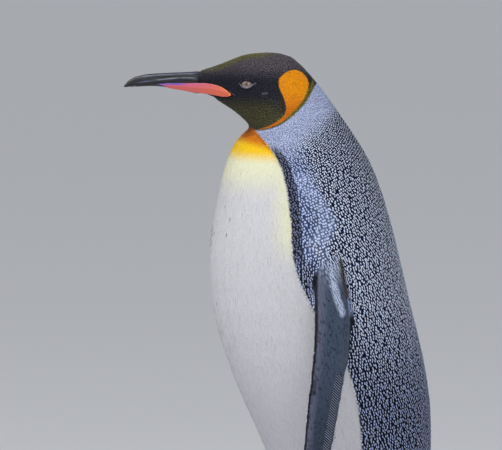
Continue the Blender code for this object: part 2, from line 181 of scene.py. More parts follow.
forward = Vector((math.sin(HEAD_TURN), -math.cos(HEAD_TURN), 0.0))
parts = [merged_copy(node) for node in FLESH + ["left_eye", "right_eye"]]
head_front = max(Vector(v.co).dot(forward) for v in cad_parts["head"].data.vertices)
for node in ("upper_bill", "lower_bill"):
    core = merged_copy(node)
    everything = core.verts[:] + core.edges[:] + core.faces[:]
    cut = forward * (head_front + BILL_CORE)
    bmesh.ops.bisect_plane(core, geom=everything, plane_co=cut, plane_no=forward, clear_outer=True)
    bmesh.ops.holes_fill(core, edges=core.edges)
    core.normal_update()
    parts.append(core)
for part in parts:
    swell(part, SWELL)
skin_mesh = remeshed(joined(parts, "skin"), VOXEL, "skin")
print("skin squares:", len(skin_mesh.polygons))

# %% [markdown]
# The remesh leaves tiny steps. A pass of smoothing that pulls points together and then lets them out again
# takes the steps away and keeps the volume. The tops of the legs get a plain smoothing too, which fills the
# crease between thigh and belly. The head and the feet get finer squares, and the lids finer still, because
# that is where the bare shape shows.

# %% Smooth the shell and give head, feet and lids finer squares
HEAD_FROM = 0.738
FOOT_TO = 0.05
THIGH_GROWS = (0.052, 0.09)
THIGH_ENDS = (0.17, 0.26)
THIGH_PASSES = 140
THIGH_PULL = 0.6
LID_ZONES = (0.005, 0.002)


def numbers(items, field, width=1, kind=float):
    """One field of every item of a mesh, as an array with a row for each item."""
    flat = np.empty(len(items) * width, dtype=kind)
    items.foreach_get(field, flat)
    return flat.reshape(-1, width) if width > 1 else flat


def points_of(mesh):
    return numbers(mesh.vertices, "co", 3)


def edges_of(mesh):
    return numbers(mesh.edges, "vertices", 2, np.int64)


def normals_of(mesh):
    return numbers(mesh.vertex_normals, "vector", 3)


def put_points(mesh, points):
    mesh.vertices.foreach_set("co", np.ascontiguousarray(points).ravel())
    mesh.update()


def neighbours_mean(values, edges):
    """For each point, the mean of a value over the points it shares an edge with."""
    count = np.bincount(edges.ravel(), minlength=len(values)).astype(float)
    total = np.empty_like(values)
    for k in range(values.shape[1]):
        total[:, k] = np.bincount(edges[:, 0], values[edges[:, 1], k], len(values))
        total[:, k] += np.bincount(edges[:, 1], values[edges[:, 0], k], len(values))
    return total / np.maximum(count, 1.0)[:, None]


def smoothed(points, edges, passes):
    """Pulls points together and lets them out again, so that steps go and the volume stays."""
    for _ in range(passes):
        for pull in (0.5, -0.53):
            points = points + pull * (neighbours_mean(points, edges) - points)
    return points


def refine(mesh, wanted):
    """Halves the squares whose middle answers wanted, and cuts every larger face there into triangles."""
    bm = bmesh.new()
    bm.from_mesh(mesh)
    bm.faces.ensure_lookup_table()
    middles = np.array([face.calc_center_median()[:] for face in bm.faces])
    chosen = [bm.faces[k] for k in np.nonzero(wanted(middles))[0]]
    edges = list({edge for face in chosen for edge in face.edges})
    bmesh.ops.subdivide_edges(bm, edges=edges, cuts=1, use_grid_fill=True)
    wide = [face for face in bm.faces if len(face.verts) > 4]
    bmesh.ops.triangulate(bm, faces=wide)
    bm.to_mesh(mesh)
    bm.free()


def near_eyes(points, reach):
    ring = [np.linalg.norm(points - np.array(middle(f"{side}_eye")), axis=1) for side in SIDES]
    return np.minimum(*ring) < reach + EYE_RADIUS


def melted(points, edges, passes, weight):
    """Plain smoothing where weight says, which fills the creases between limb and body."""
    for _ in range(passes):
        points = points + THIGH_PULL * weight[:, None] * (neighbours_mean(points, edges) - points)
    return points


eye_low, eye_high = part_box("left_eye")
EYE_RADIUS = (eye_high.z - eye_low.z) / 2
put_points(skin_mesh, smoothed(points_of(skin_mesh), edges_of(skin_mesh), 10))
skin_points = points_of(skin_mesh)
thigh = ease(skin_points[:, 2], *THIGH_GROWS) * (1.0 - ease(skin_points[:, 2], *THIGH_ENDS))
put_points(skin_mesh, melted(skin_points, edges_of(skin_mesh), THIGH_PASSES, thigh))
refine(skin_mesh, lambda p: (p[:, 2] > HEAD_FROM) | (p[:, 2] < FOOT_TO))
put_points(skin_mesh, smoothed(points_of(skin_mesh), edges_of(skin_mesh), 4))
for reach in LID_ZONES:
    refine(skin_mesh, lambda p: near_eyes(p, reach))
    put_points(skin_mesh, smoothed(points_of(skin_mesh), edges_of(skin_mesh), 3))
print("skin faces:", len(skin_mesh.polygons), "eye radius:", round(EYE_RADIUS, 4))

# %% [markdown]
# ## Where the markings run
# The outlines of the markings are needed early, because the white front has a flatter coat than the back.
# They are given in millimetres on the straight bird, with only the points that the shape needs, and a
# smooth curve is drawn through them. All are (y, z) places seen from the side, except the border, which
# gives its y for each height z.

# %% The outlines of the markings
MILLI = 0.001
BORDER = [(752, -67), (733, -51), (715, -44), (690, -47), (658, -58), (623, -64), (590, -60), (550, -44),
          (478, -1), (436, 13), (380, 23), (300, 42), (185, 72), (100, 98)]
HOOD_EDGE = [(-90, 754), (-75, 754), (-62, 751.5), (-50, 754), (-38, 758.5), (-26, 767), (-14, 777.5),
             (-4, 789), (2, 799), (8, 806), (30, 812)]
EAR_PATCH = [(-35, 815.5), (-28, 820.5), (-19, 822), (-11, 819), (-4.5, 811.5), (-3, 803), (-8, 790),
             (-16, 780), (-27, 769), (-39, 760), (-52, 754.8), (-63, 752), (-50, 757.2), (-40, 763),
             (-33, 769), (-30, 777), (-32, 788), (-36, 797), (-38.5, 805), (-38, 812)]
SILVER_EDGE = [(-60, 712), (-35, 727), (-15, 741), (0, 753), (15, 765), (30, 782), (45, 800)]
# The path of the painted highlight on the shoulder.
SHOULDER_HIGHLIGHT = [(-24, 695), (-20, 669), (-17, 650), (-27, 635), (-37, 622)]
STREAK = [(-38, 622), (-31, 605), (-26, 584), (-21, 561), (-15, 545)]
# The fold behind the left flipper, where a shadow is painted.
CREASE_SHADOW = [(-10, 602), (-7, 577), (-4, 562)]
GAPE = [(-96.5, 796.7), (-91, 792.2)]
EAR_FLECK = [(-57.5, 794.7), (-53, 795.3)]
EYE_RIM = [(-85, 806.7), (-83.7, 804), (-80.4, 801.7), (-77, 801), (-73.1, 801.9), (-69.6, 804.5),
           (-65.6, 807.3)]
FIN_SCUFF = [(-61, 468), (-61.6, 455)]


def through(stations, at):
    """A smooth curve through (position, value) pairs, read at any positions, in metres."""
    x, y = (np.array(sorted(stations), float) * MILLI).T
    rise = np.gradient(y, x)
    k = np.clip(np.searchsorted(x, at) - 1, 0, len(x) - 2)
    width = x[k + 1] - x[k]
    t = np.clip((at - x[k]) / width, 0.0, 1.0)
    start = (1 + 2 * t) * (1 - t) ** 2 * y[k] + t * (1 - t) ** 2 * width * rise[k]
    return start + t**2 * (3 - 2 * t) * y[k + 1] + t**2 * (t - 1) * width * rise[k + 1]


def away_from(points, curve):
    """The distance of each (y, z) point from an open run of corners, in metres."""
    nearest = np.full(len(points), np.inf)
    for a, b in zip(curve, curve[1:]):
        along = np.clip((points - a) @ (b - a) / ((b - a) @ (b - a)), 0, 1)
        nearest = np.minimum(nearest, np.linalg.norm(points - a - along[:, None] * (b - a), axis=1))
    return nearest


def inside_outline(points, outline):
    """How far each (y, z) point is inside a closed outline, negative outside, in metres."""
    corners = np.array(outline, float) * MILLI
    steps = np.linspace(0, 1, 4, endpoint=False)[:, None, None]
    before, after, later = (np.roll(corners, -k, axis=0) for k in (-1, 1, 2))
    curve = (2 * corners + steps * (after - before)
             + steps**2 * (2 * before - 5 * corners + 4 * after - later)
             + steps**3 * (3 * corners - before - 3 * after + later)) / 2
    curve = curve.transpose(1, 0, 2).reshape(-1, 2)
    curve = np.vstack([curve, curve[:1]])
    odd = np.zeros(len(points), dtype=bool)
    for a, b in zip(curve, curve[1:]):
        odd ^= ((a[1] > points[:, 1]) != (b[1] > points[:, 1])) & (
            points[:, 0] < (b[0] - a[0]) * (points[:, 1] - a[1]) / (b[1] - a[1] + 1e-12) + a[0])
    nearest = away_from(points, curve)
    return np.where(odd, nearest, -nearest)


print("border of the white front:", len(BORDER), "heights; ear patch:", len(EAR_PATCH), "corners")

# %% [markdown]
# ## Room for the coat
# The solids are as big as the feathered bird, so the skin has to lie inside them by the thickness of its
# coat: over two millimetres on the trunk, less than one on the flippers and at the bill, nothing on the
# bare feet. Each point of the skin is told which solid it lies nearest to, and that sets its depth. The
# coat thins out towards the bill and on the forehead, and a bed is sunk for each coloured plate of the
# bill. Two more kinds, comb and speck, are for single feathers only.

# %% Which solid each point of the skin belongs to
COAT_DEPTH = {"head": 0.0011, "neck": 0.0017, "trunk": 0.0023, "tail": 0.0022, "flipper": 0.0008,
              "leg": 0.0013, "foot": 0.0, "bill": 0.0022, "eye": 0.0011, "comb": 0.0008, "speck": 0.0011}
FEATHER_KINDS = 2
FRONT_DEPTH = 0.0015
DEPTH_PASSES = 5
NEAR_A_SOLID = 0.006
FACE_THICKENS = 0.06
THINNEST = 0.1
FOREHEAD_FROM_Z = (0.806, 0.816)
FOREHEAD_TO_Y = (-0.085, -0.055)
BORDER_BLENDS = 0.004
PLATE_BED = 0.0020
PLATE_RISES = 0.0032
PLATE_REACHES = 0.005
PLATE_SHORTENS = 0.0028
KINDS = list(COAT_DEPTH)


def kind_of(node):
    return node.split("_")[-1] if node.split("_")[-1] in COAT_DEPTH else node


def edges_along(along, across, step):
    """A function that gives the lowest and the highest value of across at any places along."""
    bins = ((along - along.min()) / step).astype(int)
    low = np.full(bins.max() + 1, np.inf)
    high = np.full(bins.max() + 1, -np.inf)
    np.minimum.at(low, bins, across)
    np.maximum.at(high, bins, across)
    centres = along.min() + (np.arange(len(low)) + 0.5) * step
    met = np.isfinite(low)
    return lambda at: (np.interp(at, centres[met], low[met]), np.interp(at, centres[met], high[met]))


def nearest_kinds(points, nodes):
    """For each point, the number of the kind of solid whose surface is nearest."""
    best = np.full(len(points), np.inf)
    kind = np.zeros(len(points), dtype=int)
    for node in nodes:
        low, high = (np.array(corner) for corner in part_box(node))
        inside = np.all((points > low - NEAR_A_SOLID) & (points < high + NEAR_A_SOLID), axis=1)
        bm = merged_copy(node)
        tree = BVHTree.FromBMesh(bm)
        bm.free()
        for k in np.nonzero(inside)[0]:
            distance = tree.find_nearest(points[k])[3]
            if distance < best[k]:
                best[k] = distance
                kind[k] = KINDS.index(kind_of(node))
    return kind


def straight_solid(node):
    """The corners of a solid on the straight bird."""
    return turned([v.co[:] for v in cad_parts[node].data.vertices], -1.0)


skin_points = points_of(skin_mesh)
skin_edges = edges_of(skin_mesh)
skin_kind = nearest_kinds(skin_points, FLESH + ["left_eye", "right_eye", "upper_bill", "lower_bill"])
depth = np.array([COAT_DEPTH[kind] for kind in KINDS])[skin_kind]
straight = turned(skin_points, -1.0)
BILL_TIP_Y = straight_solid("upper_bill")[:, 1].min()
MASK_FRONT_Y = straight_solid("head")[:, 1].min()
from_bill = ease(straight[:, 1], MASK_FRONT_Y, MASK_FRONT_Y + FACE_THICKENS)
on_face = skin_kind == KINDS.index("head")
depth = np.where(on_face, depth * (THINNEST + (1.0 - THINNEST) * from_bill), depth)
forehead = ease(straight[:, 2], *FOREHEAD_FROM_Z) * (1.0 - ease(straight[:, 1], *FOREHEAD_TO_Y))
depth = np.where(on_face, depth * (1.0 - forehead), depth)


def moved_plate(points):
    """A bill plate on the straight bird, drawn forward and up, and how far along it each point is."""
    run = (points[:, 1] - points[:, 1].min()) / np.ptp(points[:, 1])
    moved = points.copy()
    moved[:, 1] -= PLATE_REACHES * ease(-run, -0.35, 0.0) + PLATE_SHORTENS * ease(run, 0.7, 1.0)
    moved[:, 2] += PLATE_RISES * ease(run, 0.35, 0.85)
    return moved, run


plate_points, _ = moved_plate(straight_solid("left_bill_plate"))
PLATE_REAR_Y = plate_points[:, 1].max()
plate_edges = edges_along(plate_points[:, 1], plate_points[:, 2], 0.004)


def inside_plate(points):
    """How far each point of the straight bird is inside the side outline of a bill plate, in metres."""
    low, high = plate_edges(points[:, 1])
    return np.minimum(np.minimum(points[:, 2] - low, high - points[:, 2]), PLATE_REAR_Y - points[:, 1])


under_plate = ease(inside_plate(straight), -0.0025, 0.0005)
depth = np.where(on_face, np.maximum(depth, PLATE_BED * under_plate), depth)
on_front = ease(through(BORDER, straight[:, 2]) - straight[:, 1], -BORDER_BLENDS, BORDER_BLENDS)
on_front = on_front * (depth == COAT_DEPTH["trunk"])
depth = depth - on_front * (COAT_DEPTH["trunk"] - FRONT_DEPTH)
depth = depth[:, None]
for _ in range(DEPTH_PASSES):
    depth = (depth + neighbours_mean(depth, skin_edges)) / 2
depth = depth[:, 0]
skin_points = skin_points - normals_of(skin_mesh) * (depth + SWELL)[:, None]
skin_points[:, 2] = np.maximum(skin_points[:, 2], 0.0)
put_points(skin_mesh, skin_points)
for number, kind in enumerate(KINDS[:-FEATHER_KINDS]):
    print("skin points of", kind, int(np.sum(skin_kind == number)))
print("feathers start at y", round(MASK_FRONT_Y, 4), "bill tip at y", round(BILL_TIP_Y, 4))

# %% [markdown]
# ## Lids
# A penguin's eye shows through an almond of skin. The skin inside that almond is tucked behind the eyeball,
# and round it the skin is drawn over the ball as a thin rim. Working with each point's distance from the
# centre of the eye keeps the lids wrapped closely on the ball, as real ones are.

# %% Draw the lids over the eyeballs
OPENING_MIDDLE = (-0.0022, 0.0004)
OPENING_HALF = 0.0066
UPPER_LID = 0.0027
LOWER_LID = 0.0030
LID = 0.0007
LID_WIDTH = 0.0016
LID_FADES = 0.0055
LID_BULGE = 0.0003
LID_PULL = 0.6
LID_ZONE = (0.6, 0.006)
TUCK = 0.0014


def outside_opening(straight_points):
    """How far each point of the straight bird is outside the almond between the lids, in metres."""
    eye = turned([middle("left_eye")], -1.0)[0]
    across = (straight_points[:, 1] - eye[1] - OPENING_MIDDLE[0]) / OPENING_HALF
    up = straight_points[:, 2] - eye[2] - OPENING_MIDDLE[1]
    beyond = np.maximum(up - UPPER_LID * (1.0 - across**4), -LOWER_LID * (1.0 - across**2) - up)
    return np.where(np.abs(straight_points[:, 0]) < eye[0] * 0.7, 1.0, beyond)


skin_points = points_of(skin_mesh)
straight = turned(skin_points, -1.0)
beyond = outside_opening(straight)
for side in SIDES:
    centre = np.array(middle(f"{side}_eye"))
    ray = skin_points - centre
    reach = np.linalg.norm(ray, axis=1)
    near = (reach > EYE_RADIUS * LID_ZONE[0]) & (reach < EYE_RADIUS + LID_ZONE[1])
    rim = EYE_RADIUS + LID + LID_BULGE * np.sin(np.clip(beyond / LID_WIDTH, 0, 1) * math.pi)
    lid_share = 1.0 - ease(beyond, LID_WIDTH, LID_FADES)
    outer = np.where(reach < rim, rim, reach + (rim - reach) * lid_share * LID_PULL)
    outer = reach + (outer - reach) * np.where(beyond < LID_FADES, 1.0, lid_share)
    goal = np.where(beyond < 0.0, EYE_RADIUS - TUCK, outer)
    skin_points = np.where(near[:, None], centre + ray * (goal / reach)[:, None], skin_points)
put_points(skin_mesh, skin_points)
print("points tucked behind the eyeballs:", int(np.sum((beyond < 0) & (np.abs(straight[:, 0]) < 0.04))))

# %% [markdown]
# ## The lie of the coat
# Feathers point away from the bill, over the head, down the neck and the back to the tail. A direction is
# set at each point of the skin, laid flat on it and evened out. Then one number is sought for each point,
# so that it grows by one for each feather passed on the way down: that number counts the rows of feathers.
# Finding it is the same sum as finding a height map from its slopes. The rows lie closer where the feathers
# are small, so their distance is given for a few heights.

# %% Directions and rows
BODY_LIE = (0.0, 0.22, -1.0)
LIMB_LIE = {"flipper": (0.0, 0.30, -1.0), "leg": (0.0, 0.05, -1.0), "foot": (0.0, -1.0, -0.3),
            "tail": (0.0, 0.85, -0.53)}
POLE_BEHIND_MASK = 0.008
POLE_HEIGHT = 0.800
HEAD_LIE_BLENDS = (0.715, 0.79)
LIE_PASSES = 6
SUM_STEPS = 900
ROW_GAPS = [(0.03, 0.0028), (0.13, 0.0030), (0.22, 0.0035), (0.66, 0.0035), (0.73, 0.0026), (0.77, 0.0018),
            (0.80, 0.0016)]
FLIPPER_GAP = 0.0026
FACE_GAP = 0.72
FACE_GAP_REACHES = 0.09


def length_of(vectors):
    return np.linalg.norm(vectors, axis=1, keepdims=True)


def laid_flat(directions, normals):
    flat = directions - normals * np.sum(directions * normals, axis=1, keepdims=True)
    return flat / np.maximum(length_of(flat), 1e-9)


def kinds(*names):
    return np.isin(skin_kind, [KINDS.index(name) for name in names])


skin_points = points_of(skin_mesh)
skin_normals = normals_of(skin_mesh)
straight = turned(skin_points, -1.0)
from_pole = straight - (0.0, MASK_FRONT_Y + POLE_BEHIND_MASK, POLE_HEIGHT)
from_pole /= length_of(from_pole)
on_head = ease(straight[:, 2], *HEAD_LIE_BLENDS)[:, None]
lie = np.tile(BODY_LIE, (len(skin_points), 1)) * (1.0 - on_head) + from_pole * on_head
for kind, direction in LIMB_LIE.items():
    lie = np.where(kinds(kind)[:, None], direction, lie)
lie = laid_flat(turned(skin_points, 1.0, lie), skin_normals)
for _ in range(LIE_PASSES):
    lie = laid_flat(lie + neighbours_mean(lie, skin_edges), skin_normals)

heights, gaps = np.array(ROW_GAPS).T
row_gap = np.interp(straight[:, 2], heights, gaps)
row_gap = np.where(kinds("flipper"), FLIPPER_GAP, row_gap)
row_gap *= FACE_GAP + (1.0 - FACE_GAP) * ease(straight[:, 1], MASK_FRONT_Y, MASK_FRONT_Y + FACE_GAP_REACHES)
row_gap = row_gap[:, None]
for _ in range(LIE_PASSES):
    row_gap = (row_gap + neighbours_mean(row_gap, skin_edges)) / 2
row_gap = row_gap[:, 0]

first, second = skin_edges.T
step = skin_points[second] - skin_points[first]
slope = lie / row_gap[:, None]
climb = np.sum((slope[first] + slope[second]) / 2 * step, axis=1)


def spread(values):
    """Each edge's value given to its second point and taken from its first."""
    total = len(skin_points)
    return np.bincount(second, values, total) - np.bincount(first, values, total)


rows = -straight[:, 2] / row_gap.mean()
rest_of = spread(climb - (rows[second] - rows[first]))
weights = np.bincount(skin_edges.ravel(), minlength=len(rows)).astype(float)
scaled = rest_of / weights
heading = scaled.copy()
fit = rest_of @ scaled
for _ in range(SUM_STEPS):
    pushed = spread(heading[second] - heading[first])
    stride = fit / (heading @ pushed)
    rows += stride * heading
    rest_of -= stride * pushed
    scaled = rest_of / weights
    fit, before = rest_of @ scaled, fit
    heading = scaled + heading * (fit / before)
slopes = (rows[second] - rows[first]) - climb
print("rows from bill to tail:", round(rows.max() - rows.min()), "misfit", round(float(np.std(slopes)), 3))

# %% [markdown]
# Where the row number passes a whole number, a line runs round the body. Feathers are set along each line
# at even distances, every second row shifted by half a step, as on a real bird, where each feather covers
# the gap between the two above it. Each line is counted out from the middle of the back, so the rows match
# there.

# %% Roots of the feathers
ACROSS = 0.92
TIGHTEST = 0.55
MANY_LEVELS = 4096
skin_mesh.calc_loop_triangles()
triangles = numbers(skin_mesh.loop_triangles, "vertices", 3, np.int64)


def level_lines(values):
    """The closed lines on the skin where values pass each whole number, as crossings of the skin's edges."""
    corner = values[triangles]
    lowest = np.ceil(corner.min(axis=1)).astype(np.int64)
    highest = np.floor(corner.max(axis=1)).astype(np.int64)
    many = np.maximum(highest - lowest + 1, 0)
    which = np.repeat(np.arange(len(triangles)), many)
    offset = np.arange(len(which)) - np.repeat(np.cumsum(many) - many, many)
    level = lowest[which] + offset
    base = level.min()
    keys = []
    for a, b in ((0, 1), (1, 2), (2, 0)):
        start = triangles[which, a]
        end = triangles[which, b]
        passed = (values[start] < level) != (values[end] < level)
        low_point = np.minimum(start, end)
        high_point = np.maximum(start, end)
        key = (low_point * len(values) + high_point) * MANY_LEVELS + (level - base)
        keys.append(np.where(passed, key, -1))
    keys = np.sort(np.array(keys).T, axis=1)[:, 1:]
    keys = keys[keys[:, 0] >= 0]
    crossing, place = np.unique(keys, return_inverse=True)
    place = place.reshape(keys.shape)
    segments = np.argsort(place.ravel(), kind="stable") // 2
    segments = segments[: len(crossing) * 2].reshape(-1, 2)
    level_at = crossing % MANY_LEVELS + base
    first_at = crossing // MANY_LEVELS // len(values)
    second_at = crossing // MANY_LEVELS % len(values)
    share = (level_at - values[first_at]) / (values[second_at] - values[first_at])
    lines = []
    done = np.zeros(len(keys), dtype=bool)
    place = place.tolist()
    segments = segments.tolist()
    for start in range(len(place)):
        if done[start]:
            continue
        line = []
        segment = start
        point = place[start][0]
        while not done[segment]:
            done[segment] = True
            point = place[segment][1] if place[segment][0] == point else place[segment][0]
            line.append(point)
            segment = segments[point][1] if segments[point][0] == segment else segments[point][0]
        lines.append((int(level_at[line[0]]), np.array(line)))
    return lines, first_at, second_at, share


lines, line_first, line_second, line_share = level_lines(rows)
roots = {"first": [], "second": [], "share": [], "row": [], "place": []}
for level, line in lines:
    a, b, t = line_first[line], line_second[line], line_share[line]
    points = skin_points[a] * (1 - t)[:, None] + skin_points[b] * t[:, None]
    start = int(np.argmax(straight[a, 1]))
    order = np.roll(np.arange(len(line)), -start)
    a, b, t, points = a[order], b[order], t[order], points[order]
    closed = np.vstack([points, points[:1]])
    gap = (row_gap[a] + np.roll(row_gap[a], -1)) / 2 * ACROSS
    counted = np.concatenate([[0.0], np.cumsum(length_of(np.diff(closed, axis=0))[:, 0] / gap)])
    total = counted[-1]
    half = (level % 2) / 2
    wanted = np.arange(math.ceil(-total / 2 - half), math.floor(total / 2 - half) + 1) + half
    if len(wanted) > 1 and wanted[0] + total - wanted[-1] < TIGHTEST:
        wanted = wanted[1:]
    at = np.searchsorted(counted, wanted % total, side="right") - 1
    at = np.clip(at, 0, len(line) - 1)
    roots["first"].append(a[at])
    roots["second"].append(b[at])
    roots["share"].append(t[at])
    roots["row"].append(np.full(len(at), level))
    roots["place"].append(wanted)
roots = {name: np.concatenate(values) for name, values in roots.items()}
print("lines:", len(lines), "roots:", len(roots["row"]))

# %% [markdown]
# ## Markings
# One function paints both the skin and the feathers, so they always agree. It works on the straight bird
# seen from the side, because the bird is the same on both sides. Only the painted shadow in the fold behind
# the flipper is on the left side alone, since the flippers hang at different slants. Each marking is a region
# with a soft edge: the white front behind its border, the black hood, the ear patch that runs down to the bib
# in a thin stripe, the silver neck. Some regions are painted light and shade instead: highlights on the
# shoulder and the front of the flipper, sheen on the crown, and shade in the arm pit and low on the belly.
# A feather has two colours: its light stroke, and the darker ground round that stroke.

# %% The colours and how they meet
def linear(*colour):
    """A colour given as 0 to 255 for the eye, as the amount of light that a shader needs."""
    colour = np.array(colour) / 255.0
    return np.where(colour <= 0.04045, colour / 12.92, ((colour + 0.055) / 1.055) ** 2.4)


PALETTE = {
    "back": ((220, 232, 255), (4, 8, 54), 0.46),
    "low back": ((162, 176, 216), (1, 2, 14), 0.38),
    "silver": ((194, 204, 238), (150, 160, 194), 0.74),
    "shoulder": ((184, 201, 243), (62, 72, 110), 0.54),
    # Painted highlight on the shoulder, laid over the back's colours.
    "light": ((200, 214, 250), (116, 130, 168), 0.70),
    "band": ((110, 118, 150), (22, 24, 38), 0.45),
    # Painted shade: the back's colours darkened in the arm pit before the flipper.
    "arm pit shade": ((160, 172, 208), (4, 4, 12), 0.40),
    "white": ((214, 213, 217), (209, 208, 213), 0.95),
    # Painted shade: the white a little darker low on the belly.
    "shaded low white": ((198, 197, 204), (193, 192, 200), 0.95),
    "cream": ((236, 236, 204), (232, 231, 198), 0.95),
    "yellow": ((252, 206, 18), (248, 198, 12), 0.95),
    "orange": ((216, 122, 3), (204, 110, 2), 0.90),
    "rust": ((150, 76, 8), (128, 62, 6), 0.80),
    "hood": ((50, 50, 66), (14, 14, 22), 0.55),
    # Painted sheen: the hood lighter on the top of the head.
    "crown sheen": ((112, 104, 112), (50, 46, 52), 0.50),
    # Painted sheen: an olive gloss along the front of the crown.
    "olive sheen": ((120, 118, 76), (66, 64, 32), 0.60),
    "throat": ((92, 88, 58), (42, 42, 26), 0.55),
    "patch": ((246, 158, 2), (238, 146, 2), 0.95),
    "patch low": ((216, 114, 2), (202, 104, 2), 0.90),
    "fringe": ((118, 118, 40), (74, 74, 24), 0.70),
    "slate": ((78, 92, 114), (60, 72, 92), 0.95),
    # Painted highlight: a lighter band behind the flipper's front edge.
    "fin band highlight": ((96, 100, 122), (86, 90, 112), 0.95),
    "low slate": ((60, 72, 92), (40, 50, 68), 0.95),
    "fin edge": ((20, 20, 32), (14, 14, 24), 0.95),
    "comb": ((158, 170, 200), (8, 10, 19), 0.34),
    "streak": ((212, 224, 252), (92, 102, 132), 0.66),
    # Painted shadow in the fold behind the flipper.
    "crease": ((84, 60, 48), (16, 10, 9), 0.50),
    "fleck": ((112, 110, 122), (66, 64, 74), 0.80),
    "rim": ((124, 120, 140), (120, 116, 136), 0.95),
    "speck": ((52, 48, 50), (44, 40, 42), 0.90),
    "dark": ((62, 66, 80), (14, 15, 22), 0.40),
    "foot": ((62, 62, 68), (34, 34, 40), 0.90),
}
EDGE_STEP = 0.004
EDGE_DEGREE = 7
SIDE_FROM_X = 0.09
INNER_FACE = -0.2


def smooth_edges(along, across):
    """Like edges_along, with a smooth curve fitted through each of the two edges."""
    stations = np.arange(along.min() + EDGE_STEP, along.max() - EDGE_STEP, EDGE_STEP)
    middle_station = stations.mean()
    fits = [np.polyfit(stations - middle_station, edge, EDGE_DEGREE)
            for edge in edges_along(along, across, EDGE_STEP)(stations)]

    def edges(at):
        at = np.clip(at, stations[0], stations[-1]) - middle_station
        return [np.polyval(fit, at) for fit in fits]

    return edges


edges_of_side = []
for sign in (1.0, -1.0):
    of_flipper = (skin_kind == KINDS.index("flipper")) & (straight[:, 0] * sign > 0)
    edges_of_side.append(smooth_edges(straight[of_flipper, 2], straight[of_flipper, 1]))


def flipper_edges(at, side):
    """The front and the rear edge of the flippers, which hang at different slants.

    The side is above 0 for the left one."""
    return [np.where(side > 0, left, right) for left, right in zip(*(edges(at) for edges in edges_of_side))]


def near(side_view, path, full, none):
    """1 within full metres of a path on the side of the bird, 0 beyond none."""
    return ease(-away_from(side_view, np.array(path) * MILLI), -none, -full)


